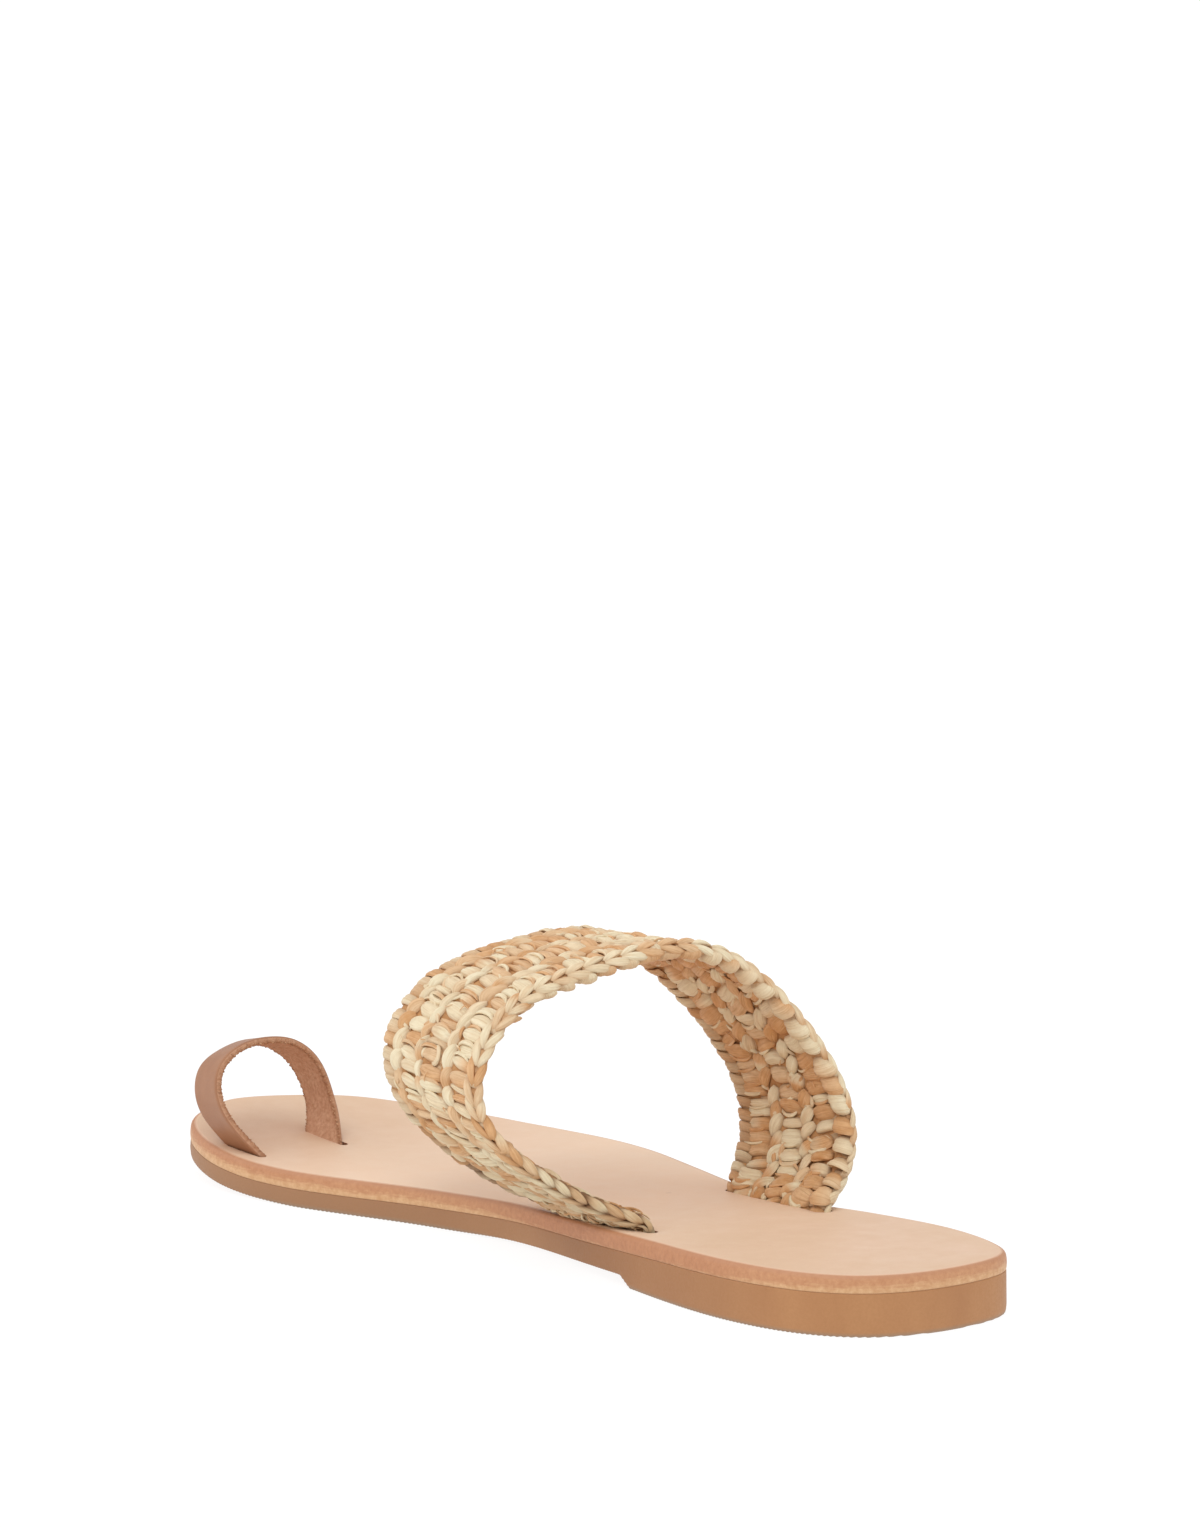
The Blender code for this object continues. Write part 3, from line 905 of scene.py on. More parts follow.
def strap_frame(rows, depth, lip, leans):
    """A strap's middle line, its direction across and its outward side, read by length along it.
    Below the footbed's top the strap goes straight down, or goes on in its own direction where it leans."""
    def seat(row, lift):
        """A row of a strap's table put at the footbed's top, or as far above it as the lift says."""
        rear_across, rear_along, _, front_across, front_along, _ = row
        rear_up = float(bed_top(rear_along)) + lift
        front_up = float(bed_top(front_along)) + lift
        return np.array([rear_across, rear_along, rear_up, front_across, front_along, front_up])

    def ends(row, above):
        """The strap's end inside the footbed and its place at the slit's lip."""
        sink = (seat(row, 0.0) - above) * depth / (above[2] - seat(row, 0.0)[2])
        return [seat(row, 0.0) + sink if leans else seat(row, -depth), seat(row, lip)]

    middle_rows = [np.array(row) for row in rows[1:-1]]
    lead = ends(rows[0], middle_rows[0])
    tail = ends(rows[-1], middle_rows[-1])[::-1]
    knots = np.array(lead + middle_rows + tail)
    middles = knots.reshape(-1, 2, 3).mean(axis=1)
    run = np.concatenate([[0.0], np.cumsum(np.linalg.norm(np.diff(middles, axis=0), axis=1))])
    at = np.linspace(0.0, run[-1], FRAME_SAMPLES)
    rims = spline(run, knots)(at).reshape(-1, 2, 3)
    middle = rims.mean(axis=1)
    across = unit(rims[:, 1] - rims[:, 0])
    outward = unit(np.cross(np.gradient(middle, axis=0), across))
    return at, middle, across, outward


def flat_points(along, across, out):
    """Flat points from three arrays, which are spread to one shape first."""
    return np.stack(np.broadcast_arrays(along, across, out), axis=-1)


def lay(strap, flat):
    """Flat points, given as length along, across and out, laid on a strap."""
    at, middle, across, outward = strap
    base, side, out = [
        np.stack([np.interp(flat[..., 0], at, axis[:, k]) for k in range(3)], axis=-1)
        for axis in (middle, across, outward)
    ]
    return base + side * flat[..., 1:2] + out * flat[..., 2:3]


BAND_SEAT_DEPTH = 3.5
BAND_LIP = 1.0
LOOP_SEAT_DEPTH = 2.0
LOOP_LIP = 0.0
band = strap_frame(BAND_PATH, BAND_SEAT_DEPTH, BAND_LIP, leans=False)
loop = strap_frame(LOOP_PATH, LOOP_SEAT_DEPTH, LOOP_LIP, leans=True)
BAND_LENGTH = band[0][-1]
LOOP_LENGTH = loop[0][-1]
print("band", round(BAND_LENGTH, 1), "mm long, toe loop", round(LOOP_LENGTH, 1), "mm long")

# %% [markdown]
# ## The toe loop
# The loop is a strip of brown leather, smooth on the outside and raw on the inside, where the flesh side
# shows with a short nap. Its edges are only cut, so they are rough and a few fibres stand out. A loft along
# the strap makes it, with the inner corners pushed about by seeded noise.

# %% Toe loop leather
LOOP_BROWNS = paint(155, 105, 74), paint(166, 116, 83)
LOOP_PORE_BROWN = paint(140, 92, 66)
NAP_TANS = paint(180, 130, 99), paint(212, 168, 138)
NAP_PATCH_TAN = paint(192, 142, 111)
RAW_CORNER_BROWN = paint(156, 103, 70)
LOOSE_NAP_PALE = paint(236, 196, 156)
loop_leather, tree, shader = new_material("loop_leather", 0.45, 0.4)
spot = millimetres(tree)
skin = use(tree, grain, {"Place": spot, "Cell": 1.8})
tone = blend(tree, patchy(tree, spot, 0.14), *LOOP_BROWNS)
tone = tinge(tree, tone, LOOP_PORE_BROWN, skin["Pores"], 0.0, 1.0, 0.25)
feed(tree, shader, colour=tone, normal=relief(tree, skin["Height"], 0.2, 0.1))

loop_suede, tree, shader = new_material("loop_suede", 0.95, 0.2)
spot = millimetres(tree)
nap = patchy(tree, spot, 1.1)
tone = blend(tree, nap, *NAP_TANS)
tone = tinge(tree, tone, NAP_PATCH_TAN, patchy(tree, spot, 0.2), 0.0, 1.0, 0.4)
corner = read_points(tree, "raw_corner")
tone = tinge(tree, tone, RAW_CORNER_BROWN, corner, 0.0, 1.0, 0.75)
fleck = times(tree, spread(tree, noise(tree, spot, 2.6, 2.0, 0.6), 0.58, 0.66), corner)
tone = blend(tree, times(tree, fleck, 0.75), tone, LOOSE_NAP_PALE)
feed(tree, shader, colour=tone, normal=relief(tree, nap, 0.7, 0.25))
print("toe loop finishes:", loop_leather.name, loop_suede.name)

# %% Toe loop
LOOP_WIDTH = 12.6
LOOP_HALF = 0.8
LOOP_STEPS = 300
LOOP_LINES = 15
LOOP_FOLD = 45.0
FRAY = 0.1
NIB_ODDS = 0.12
NIB_LONG = 0.35
NIB_LEAST = 0.3
CORNER_REACH = 0.7
LOOP_SEED = 11
# places in the strip's section, across and out, as shares of its half width and half thickness
ROUNDED_EDGE = [(0.955, 0.88), (0.985, 0.55)]
RAW_EDGE = [(1.0, -0.2), (1.0, -0.85)]
OUTER_FLAT = 0.9
INNER_FLAT = 0.97


def mirrored(edge):
    """The same edge of the strip's section on its other side."""
    return [(-across, out) for across, out in edge[::-1]]


chance = np.random.default_rng(LOOP_SEED)
lines = np.linspace(-1.0, 1.0, LOOP_LINES)
outer = mirrored(ROUNDED_EDGE) + [(line * OUTER_FLAT, 1.0) for line in lines] + ROUNDED_EDGE
inner = RAW_EDGE + [(-line * INNER_FLAT, -1.0) for line in lines] + mirrored(RAW_EDGE)
section = np.array(outer + inner)
along = np.linspace(0.0, LOOP_LENGTH, LOOP_STEPS)[:, None]
flat = flat_points(along, section[:, 0] * LOOP_WIDTH / 2.0, section[:, 1] * LOOP_HALF)
raw = (section[:, 1] < 0.0) & (np.abs(section[:, 0]) > OUTER_FLAT)
fray_shape = (LOOP_STEPS, raw.sum())
nibs = NIB_LONG * (chance.uniform(size=fray_shape) < NIB_ODDS) * chance.uniform(NIB_LEAST, 1.0, fray_shape)
flat[:, raw, 1] += chance.normal(0.0, FRAY, fray_shape) + nibs * np.sign(section[raw, 0])
flat[:, raw, 2] += chance.normal(0.0, FRAY, fray_shape)
loop_faces = tube_faces(1, LOOP_STEPS, len(section))[:, ::-1]
wall_count = (LOOP_STEPS - 1) * len(section)
smooth_side = np.arange(wall_count) % len(section) < len(outer) - 1
picks = np.concatenate([np.where(smooth_side, 0, 1), np.ones(len(loop_faces) - wall_count, int)])
loop_points = place(lay(loop, flat).reshape(-1, 3))
toe_loop = mesh_piece("toe_strap", loop_points, loop_faces, [loop_leather, loop_suede], picks, LOOP_FOLD)
from_corner = np.abs(np.abs(section[:, 0]) - 1.0) * LOOP_WIDTH / 2.0 + np.abs(section[:, 1] + 1.0) * LOOP_HALF
point_values(toe_loop, "raw_corner", np.tile(bell(from_corner, 0.0, CORNER_REACH), LOOP_STEPS))
dress(toe_loop, "toe_loop")

# %% [markdown]
# ## Raffia strands
# Raffia is a flat palm leaf strip, folded on itself as it is worked, so each visible stitch is a short
# ribbon with soft creases along it. A strand here is a path in flat strap coordinates with a width and a
# thickness along it, and a creased oval swept on it. Points also keep where they lie on the ribbon, so that
# the material can draw fibres along every strand whichever way it runs.

# %% Sweep many strands at once
RIBBON = np.array([
    # across, out
    (1.0, 0.0), (0.9, 0.5), (0.6, 0.86), (0.26, 1.0), (0.02, 0.8), (-0.3, 0.96),
    (-0.76, 0.7), (-1.0, 0.06), (-0.82, -0.55), (-0.3, -0.85), (0.3, -0.85), (0.82, -0.55),
])
MIRRORED = RIBBON[::-1] * (-1.0, 1.0)
PATH_STEPS = 10
STRAND_TIP = 0.06

steps = np.linspace(0.0, 1.0, PATH_STEPS)[None]
eased = 0.5 - 0.5 * np.cos(np.pi * steps)


class Draws:
    """Seeded chance for a row of strands: each draw is a column with one value for each strand."""

    def __init__(self, chance, count):
        self.chance = chance
        self.count = count

    def between(self, low, high):
        """Values spread evenly over a range."""
        return self.chance.uniform(low, high, (self.count, 1))

    def near(self, middle, by):
        """Values that gather round a middle."""
        return self.chance.normal(middle, by, (self.count, 1))

    def spaced(self, pitch, first=0.5):
        """Places along the band at an even pitch."""
        return (np.arange(self.count)[:, None] + first) * pitch


def strands(paths, wide, thick, roll, facing):
    """Rings of ribbons along paths, in flat strap coordinates. Facing is +1 where out is up, or -1."""
    ahead = unit(np.gradient(paths, axis=1))
    up = np.array([0.0, 0.0, facing])
    side = unit(np.cross(up, ahead))
    out = np.cross(ahead, side)
    turn = roll[:, :, None]
    side, out = side * np.cos(turn) + out * np.sin(turn), out * np.cos(turn) - side * np.sin(turn)
    section = np.where((np.arange(len(paths)) % 2 == 0)[:, None, None], RIBBON, MIRRORED)[:, None]
    reach = side[:, :, None] * (wide[:, :, None] * section[..., 0])[..., None]
    lift = out[:, :, None] * (thick[:, :, None] * section[..., 1])[..., None]
    return paths[:, :, None] + reach + lift


def arch(share, power):
    """A hump from 0 through 1 to 0; a small power makes its top flat."""
    return np.sin(np.pi * np.clip(share, 0.0, 1.0)) ** power


def cushion(share, power):
    """A hump with full round ends, as of a cushion; a high power makes it square."""
    return (1.0 - np.abs(2.0 * share - 1.0) ** power) ** (1.0 / power) * (1.0 - STRAND_TIP) + STRAND_TIP


print("points round a ribbon:", len(RIBBON))

# %% Rows of the band
BAND_WIDTH = 43.2
OUTER_ROWS = [
    # kind, heel-side limit, toe-side limit, across from the band's middle
    ("pillow", -18.2, -9.3),
    ("link", -10.1, -5.1),
    ("pillow", -5.6, 3.5),
    ("link", 2.8, 6.2),
    ("pillow", 5.2, 13.1),
    ("link", 12.0, 16.6),
]
INNER_ROWS = [
    ("pillow", -17.2, -9.1),
    ("link", -9.8, -4.6),
    ("pillow", -5.2, 2.8),
    ("link", 2.2, 7.4),
    ("pillow", 6.7, 16.2),
]
SEAT_SWELL = 0.2
SWELL_ABOVE = 5.0
SWELL_REACH = 4.0
CROWN = 1.4
CROWN_ABOVE = 5.0
CROWN_REACH = 6.0
CROWN_OVER = 6.0
LEG_LUMPS = 0.3
LEG_MIDDLE = 34.0
LEG_REACH = 20.0
DRIFT_FROM = 145.0
DRIFT_OVER = 40.0


def above_slit(along):
    """Length along the band from the top of the footbed at the nearer slit."""
    return np.minimum(along, BAND_LENGTH - along) - BAND_SEAT_DEPTH


def swell(along):
    """How far strands stand up: the band swells a little just above its slits."""
    return 1.0 + SEAT_SWELL * bell(above_slit(along), SWELL_ABOVE, SWELL_REACH)


def leg_lumps(along):
    """How much more the upright stitches stand out on the medial leg, which lies nearly flat."""
    return 1.0 + LEG_LUMPS * bell(along, LEG_MIDDLE, LEG_REACH)


def drift(along):
    """How far the rows have moved away from the heel rim: 0 to 1 towards the lateral slit."""
    return smooth_step((along - DRIFT_FROM) / DRIFT_OVER)


def lay_band(flat):
    """Points laid on the band, which bulges a little across its width on its way out of each slit."""
    above = above_slit(flat[..., 0])
    rise = CROWN * bell(above, CROWN_ABOVE, CROWN_REACH) * smooth_step(above / CROWN_OVER)
    bulged = flat.copy()
    bulged[..., 2] += rise * (1.0 - np.clip(2.0 * flat[..., 1] / BAND_WIDTH, -1.0, 1.0) ** 2)
    return lay(band, bulged)


print("rows of stitches:", sum(kind == "pillow" for kind, *_ in OUTER_ROWS))

# %% [markdown]
# ## The stitches of a face
# A row of the band has several kinds of strand. Upright stitches lie side by side like cushions, folded
# ribbons of uneven width, and they stand out more on the medial leg. A thin brow lies over many of them in
# the groove to the next, and thin hooks curl round the ends of some, where the yarn was drawn through.
# Between two rows of stitches lie slanted links like leaves in a garland, with a few short strands crossing
# them. Fibres have split off here and there, most of them at the medial slit. Every measure is drawn from
# seeded chance around a usual value, because hand work is never twice the same.

# %% Upright stitches
PILLOW_WIDTHS = np.array([2.3, 3.2, 4.0])
PILLOW_SHARES = [0.25, 0.45, 0.3]
PILLOW_DRAWS = 150
PILLOW_SEAT = 0.6
PILLOW_HALF = 1.25
PILLOW_NECK = 0.3
TILE_ROLL = 0.16


def pillow_row(chance, start, end, facing, lean, snug, fine, over, loose):
    """Upright stitches side by side: folded ribbons from one row of links to the next.
    Lean is their slant, snug and fine their tightness and size, over tells how far their toe-side ends
    lie on top, and loose how uneven they are."""
    widths = chance.choice(fine * PILLOW_WIDTHS, size=PILLOW_DRAWS, p=PILLOW_SHARES)
    widths = widths * chance.uniform(0.9, 1.12, PILLOW_DRAWS)
    ends = np.cumsum(widths)
    count = int(np.searchsorted(ends, BAND_LENGTH))
    widths = (widths[:count] * BAND_LENGTH / ends[count - 1])[:, None]
    middle = np.cumsum(widths, axis=0) - widths / 2.0
    size = np.clip(widths / PILLOW_WIDTHS[-1], 0.5, 1.1)
    draw = Draws(chance, count)
    tilt = lean * (1.0 - 0.7 * drift(middle)) + draw.near(0.0, 0.45 * loose)
    bow = draw.near(0.0, 0.28 * loose)
    shift = draw.near(0.0, 0.28 * loose)
    seat = PILLOW_SEAT * (0.7 + 0.3 * size) + draw.near(0.0, 0.1 * loose)
    rise = over * smooth_step(1.7 * eased) + (1.0 - over) * arch(eased, 0.5)
    stand = swell(middle) * leg_lumps(middle)
    paths = flat_points(
        middle + tilt * (eased - 0.5) + bow * arch(eased, 1.0),
        start + (end - start) * eased + shift,
        facing * seat * (0.3 + 0.7 * rise) * stand,
    )
    wide = widths / 2.0 * draw.between(snug - 0.06, snug + 0.08) * cushion(eased, 3.2)
    wide *= 1.0 - PILLOW_NECK * over * smooth_step(2.2 * eased - 1.2)
    thick = PILLOW_HALF * (0.35 + 0.65 * size) * cushion(eased, 2.3) * stand
    return paths, wide, thick, draw.near(TILE_ROLL, 0.16 * loose)


print("about", round(BAND_LENGTH / (PILLOW_WIDTHS @ PILLOW_SHARES)), "upright stitches in a row")

# %% Brows and hooks
BROW_ODDS = 0.65
BROW_BEND = 0.7
BROW_LEAST = 1.2
HOOK_REACH = 2.1
HOOK_LEAST = 1.3
HOOK_AT_TOE = 0.6
HOOK_STEP = 3
HOOK_CLEAR = 0.2
HOOK_BEGIN, HOOK_TURN = 1.2, 1.4


def pick_stitches(chance, half, odds, least):
    """Numbers of the stitches that get an extra strand: by chance, if they are wide enough."""
    return np.flatnonzero((chance.uniform(size=len(half)) < odds) & (half > least))


def brow_row(chance, pillows, facing):
    """Thin strands over the far side of many stitches, with ends that bend round the stitch."""
    half = pillows[1].max(axis=1)
    picked = pick_stitches(chance, half, BROW_ODDS, BROW_LEAST)
    base = pillows[0][picked]
    draw = Draws(chance, len(picked))
    reach = draw.between(0.75, 1.06)
    shift = draw.near(0.0, 0.5)
    off = 2.0 * steps - 1.0
    middle = base[:, PATH_STEPS // 2, :2]
    lean, run = (base[:, -1, :2] - base[:, 0, :2]).T[:, :, None] / 2.0
    beside = draw.between(0.85, 1.1) - BROW_BEND * np.abs(off) ** 2.8
    brows = flat_points(
        middle[:, :1] + lean * off + half[picked, None] * beside,
        middle[:, 1:] + shift + run * reach * off,
        facing * (0.75 + 0.72 * arch(steps, 0.5)) * swell(middle[:, :1]),
    )
    thin = draw.between(0.34, 0.66) * cushion(steps, 2.0)
    return brows, thin, 0.8 * thin, draw.near(0.15, 0.25)


def hook_row(chance, pillows, facing, odds):
    """Thin strands that curl round one end of some of the upright stitches."""
    half = pillows[1].max(axis=1)
    picked = pick_stitches(chance, half, odds, HOOK_LEAST)
    draw = Draws(chance, len(picked))
    at_toe = draw.between(0.0, 1.0) < HOOK_AT_TOE
    spot = pillows[0][picked, np.where(at_toe, -HOOK_STEP - 1, HOOK_STEP)[:, 0]][:, None]
    along, across = spot[..., 0], spot[..., 1]
    turn = math.pi * (HOOK_BEGIN - HOOK_TURN * steps)
    hooks = flat_points(
        along + (half[picked, None] + HOOK_CLEAR) * np.cos(turn),
        across + np.where(at_toe, -1.0, 1.0) * HOOK_REACH * (0.5 - np.sin(turn)),
        facing * (0.7 + 0.75 * arch(steps, 0.7)) * swell(along),
    )
    thin = draw.between(0.45, 0.72) * cushion(steps, 2.4)
    return hooks, thin, 0.7 * thin, draw.near(0.0, 0.25)


print("stitches with a brow:", round(100 * BROW_ODDS), "in a hundred of those wide enough")

# %% Links
LINK_PITCH = 4.3
LINK_LONG = 5.3
LINK_ROLL = 0.3


def link_row(chance, start, end, facing, slant, broad, proud, sag):
    """Leaf-shaped links lying slantwise along the band between two rows of stitches.
    Broad is their breadth for the row's width, proud how far they stand out and sag how they bend."""
    draw = Draws(chance, round(BAND_LENGTH / LINK_PITCH))
    centre = draw.spaced(LINK_PITCH) + draw.near(0.0, 0.45)
    long = LINK_LONG * draw.between(0.85, 1.15)
    swing_by = draw.near(slant, 0.5)
    bend = draw.near(sag, 0.35) * (arch(steps, 1.0) - 0.5)
    across = (start + end) / 2.0 + swing_by * (steps - 0.5) + bend + draw.near(0.0, 0.25)
    top = draw.near(proud, 0.12) * arch(0.1 + 0.85 * steps, 0.8)
    stand = swell(centre)
    paths = flat_points(
        centre + long * (steps - 0.5),
        across,
        facing * (0.25 + top) * stand / leg_lumps(centre),
    )
    leaf = arch(0.12 + 0.8 * steps, 0.7)
    wide = broad * draw.between(0.85, 1.15) * (end - start) * (0.15 + 0.85 * leaf)
    thick = draw.between(0.6, 0.85) * (0.3 + 0.7 * leaf) * stand
    return paths, wide, thick, facing * draw.near(LINK_ROLL, 0.2)


print("links in a row:", round(BAND_LENGTH / LINK_PITCH))

# %% Crossing strands and loose fibres
CROSSING_LONG = (2.6, 4.8)
CROSSING_PAST = 0.6
FIBRE_LONG = (1.6, 4.2)
FIBRE_SEAT = 1.4


def strewn(centre, middle, long, turn, bow):
    """The run along and across of thin bent strands, each with its place, length, direction and bow."""
    bend = bow * arch(steps, 1.0)
    along = centre + long * np.cos(turn) * (steps - 0.5) - bend * np.sin(turn)
    across = middle + long * np.sin(turn) * (steps - 0.5) + bend * np.cos(turn)
    return along, across


def crossing_row(chance, start, end, facing, pitch, broad):
    """Short thin strands that cross the links in all directions."""
    draw = Draws(chance, round(BAND_LENGTH / pitch))
    centre = draw.between(0.0, BAND_LENGTH)
    long = draw.between(*CROSSING_LONG)
    turn = draw.between(-1.3, 1.3)
    bow = draw.near(0.0, 0.5)
    run = strewn(centre, draw.between(start - CROSSING_PAST, end + CROSSING_PAST), long, turn, bow)
    paths = flat_points(*run, facing * (0.45 + draw.between(0.6, 0.95) * arch(steps, 0.7)) * swell(centre))
    thin = broad * draw.between(0.35, 0.65) * cushion(steps, 2.0)
    return paths, thin, 0.75 / broad * thin, draw.near(0.0, 0.3)


def loose_fibres(chance, count, facing, along, across, lift, swirl, broad):
    """Thin split fibres on a stretch of the band, which hang to its medial slit where swirl is small."""
    draw = Draws(chance, count)
    centre = draw.between(*along)
    long = draw.between(*FIBRE_LONG)
    turn = math.pi + draw.near(0.0, swirl)
    bow = draw.near(0.0, 0.6)
    run = strewn(centre, draw.between(*across), long, turn, bow)
    paths = flat_points(*run, facing * (FIBRE_SEAT + lift * draw.between(0.2, 1.0) * arch(steps, 0.7)))
    thin = broad * draw.between(0.1, 0.24) * cushion(steps, 2.0)
    return paths, thin, 0.8 * thin, draw.near(0.0, 0.3)


print("loose fibres are", FIBRE_LONG, "mm long")

# %% [markdown]
# ## The rims
# The last stitches of the heel side lie as a plait along the rim: pairs of leaf-shaped lobes that open from
# the rim's crest, each pair coming out from between the two before it. From the bend of the medial leg on,
# broad stitches like fish scales go from the plait round to the inner face. On the toe side the yarn is
# simply wrapped over the rim in short blocks, and such wraps lie sunk under the plait too. All of it is drawn
# flat, as if the rim were a straight strip, and then bent round the edge of the band. A rim gets smaller on
# its way into a slit, as if pressed together.

# %% Plait
# a rim's name, its side of the band, its core's half width and its crest's turn to the outer face
Rim = namedtuple("Rim", "name side core crest")
HEEL_RIM = Rim("raffia_heel_rim", -1.0, 2.3, 0.85)
TOE_RIM = Rim("raffia_toe_rim", 1.0, 2.8, 0.0)
RIM_SKIN = 1.15
RIM_CORE_OUT = 1.05
RIM_PITCH = 4.3
RIM_LOBE = 1.52 * RIM_PITCH
LOBE_TIP = 0.12
LOBES = [
    # side of the plait, how far its lobes open, their half width
    (-1.0, 2.4, 1.15),
    (1.0, 1.9, 0.88),
]
PLAIT_SEED = 33


def plait_row(chance, lobe, opens, broad):
    """One side of the plait, along the rim and round from its crest. Lobe is -1 or +1."""
    draw = Draws(chance, round(BAND_LENGTH / RIM_PITCH))
    both_sides = Draws(np.random.default_rng(PLAIT_SEED), draw.count)
    tip = draw.spaced(RIM_PITCH, -0.4) + both_sides.near(0.0, 0.3)
    hump = arch(0.1 + 0.9 * steps, 0.8)
    stand = swell(tip + RIM_LOBE / 2.0)
    wide = broad * draw.between(0.9, 1.12) * (0.4 + 0.6 * arch(0.1 + 0.84 * steps, 0.75))
    paths = flat_points(
        tip + RIM_LOBE * steps,
        lobe * (LOBE_TIP + (opens + draw.near(0.0, 0.1)) * steps ** 0.8),
        (0.05 + 0.72 * hump) * stand,
    )
    return paths, wide, (0.2 + 0.5 * hump) * stand, draw.near(0.25 * lobe, 0.12)


print("lobes on each side of the plait:", round(BAND_LENGTH / RIM_PITCH))

# %% Scales and wraps
SCALE_PITCH = 5.2
SCALE_FROM = -0.1
SCALE_TO = 2.0
SCALE_LOW = 0.3
SCALE_LATE = 0.7
SCALE_RISE = 50.0
SCALE_START = 58.0
WRAP_PITCH = 3.2
WRAP_TURN = 2.45
STRIP_OUT = 0.5


def rim_arc(rim):
    """Radius of the circle that the strip round a rim's core is bent on."""
    return (rim.core + RIM_CORE_OUT) / 2.0 + STRIP_OUT


def scale_row(chance, rim):
    """Broad stitches from the plait round to the inner face, with free round ends like fish scales."""
    draw = Draws(chance, round(BAND_LENGTH / SCALE_PITCH))
    middle = draw.spaced(SCALE_PITCH) + draw.near(0.0, 0.3)
    reach = SCALE_TO + 0.3 * drift(middle) + draw.near(0.0, 0.1)
    full = smooth_step(middle / SCALE_RISE - 1.0)
    begin = SCALE_FROM + SCALE_LATE * (1.0 - full)
    stand = (SCALE_LOW + (1.0 - SCALE_LOW) * full) * swell(middle)
    paths = flat_points(
        middle + draw.near(0.8, 0.4) * (eased - 0.5),
        -rim_arc(rim) * (rim.crest + begin + (reach - begin) * eased),
        (0.1 + 0.6 * arch(0.1 + 0.75 * eased, 0.6)) * stand,
    )
    wide = SCALE_PITCH * draw.between(0.46, 0.58) * cushion(eased, 2.6)
    thick = draw.between(0.7, 0.95) * cushion(eased, 2.3) * stand
    roll = draw.near(0.25, 0.15)
    kept = middle[:, 0] > SCALE_START
    return paths[kept], wide[kept], thick[kept], roll[kept]


def wrap_row(chance, rim, sink):
    """Blocks of yarn wrapped over the rim, from one face to the other."""
    draw = Draws(chance, round(BAND_LENGTH / WRAP_PITCH))
    middle = draw.spaced(WRAP_PITCH) + draw.near(0.0, 0.2)
    reach = rim_arc(rim) * WRAP_TURN * draw.between(0.94, 1.04)
    stand = swell(middle)
    paths = flat_points(
        middle + draw.near(0.7, 0.4) * (steps - 0.5),
        reach * (2.0 * steps - 1.0),
        draw.between(0.1, 0.62) * arch(0.1 + 0.8 * steps, 0.5) * stand - sink,
    )
    wide = WRAP_PITCH * draw.between(0.47, 0.58) * (0.75 + 0.25 * arch(steps, 0.4))
    thick = draw.between(0.55, 0.8) * (0.5 + 0.5 * arch(steps, 0.5)) * stand
    return paths, wide, thick, draw.near(0.1, 0.12)


print("wraps over the toe rim:", round(BAND_LENGTH / WRAP_PITCH))

# %% Bend round the rim
RIM_PRESSED = 0.45
LATERAL_PRESSED = 0.7
PRESSED_OVER = 9.0


def narrowing(along, side):
    """Size of a rim along the band: pressed into the medial slit, and on the toe side into both."""
    medial = 1.0 - smooth_step((along - BAND_SEAT_DEPTH) / PRESSED_OVER)
    lateral = 1.0 - smooth_step((BAND_LENGTH - BAND_SEAT_DEPTH - along) / PRESSED_OVER)
    return 1.0 - RIM_PRESSED * (medial + LATERAL_PRESSED * (side > 0.0) * lateral)


def bend_round_rim(flat, rim):
    """Points along, round and out from a rim's core, bent round the edge of the band."""
    turn = flat[..., 1] / rim_arc(rim) - rim.side * rim.crest
    size = narrowing(flat[..., 0], rim.side)
    inside = BAND_WIDTH / 2.0 - rim.core - RIM_SKIN
    bent = flat.copy()
    bent[..., 1] = rim.side * (inside + size * (rim.core + flat[..., 2]) * np.cos(turn))
    bent[..., 2] = -rim.side * size * (RIM_CORE_OUT + flat[..., 2]) * np.sin(turn)
    return bent


print("the heel rim is", round(float(narrowing(0.0, HEEL_RIM.side)), 2), "of its size in the medial slit")

# %% [markdown]
# ## Two colours of raffia
# The yarn is variegated: cream and tan follow each other stitch by stitch, with longer runs of one colour
# here and there. Each strand gets a tint at both ends, drawn by chance with odds that change along the band,
# and a smaller difference between its two long sides. The inner face is a deeper tan. Fine hairlines run
# along each strand in lit and shaded copies of its colours. Painted shade darkens strands where they dip
# between others, and painted shade darkens and greys the yarn near the slits.

# %% Tints
OUTER_RUNS = [
    # share of the band's length, odds of tan
    (0.0, 0.5), (0.12, 0.45), (0.38, 0.45), (0.42, 0.5), (0.44, 0.65), (0.49, 0.6), (0.54, 0.5), (1.0, 0.5),
]
INNER_RUNS = [(0.0, 0.65), (0.6, 0.68), (0.75, 0.68), (0.85, 0.6), (1.0, 0.55)]
INNER_LINK_RUNS = [(0.0, 0.4), (0.6, 0.45), (0.7, 0.4), (0.85, 0.4), (1.0, 0.5)]
HEEL_RIM_RUNS = [(0.0, 0.4), (0.22, 0.55), (0.36, 0.4), (0.44, 0.3), (0.6, 0.27), (0.75, 0.38), (1.0, 0.35)]
SCALE_RUNS = [(0.0, 0.4), (0.6, 0.3), (0.75, 0.35), (0.85, 0.35), (1.0, 0.4)]
TOE_RIM_RUNS = [(0.0, 0.6), (0.15, 0.55), (0.5, 0.45), (0.65, 0.6), (1.0, 0.6)]
TURNING_ODDS = 0.3


def read_table(table, at):
    """A table of pairs read at many places."""
    return np.interp(at, *np.array(table).T)


def draw_tint(chance, along, runs):
    """A tint for each strand: near 0 is cream and near 1 is tan."""
    tan = chance.uniform(size=len(along)) < read_table(runs, along / BAND_LENGTH)
    return np.where(tan, chance.normal(0.82, 0.2, len(along)), chance.normal(0.12, 0.12, len(along)))


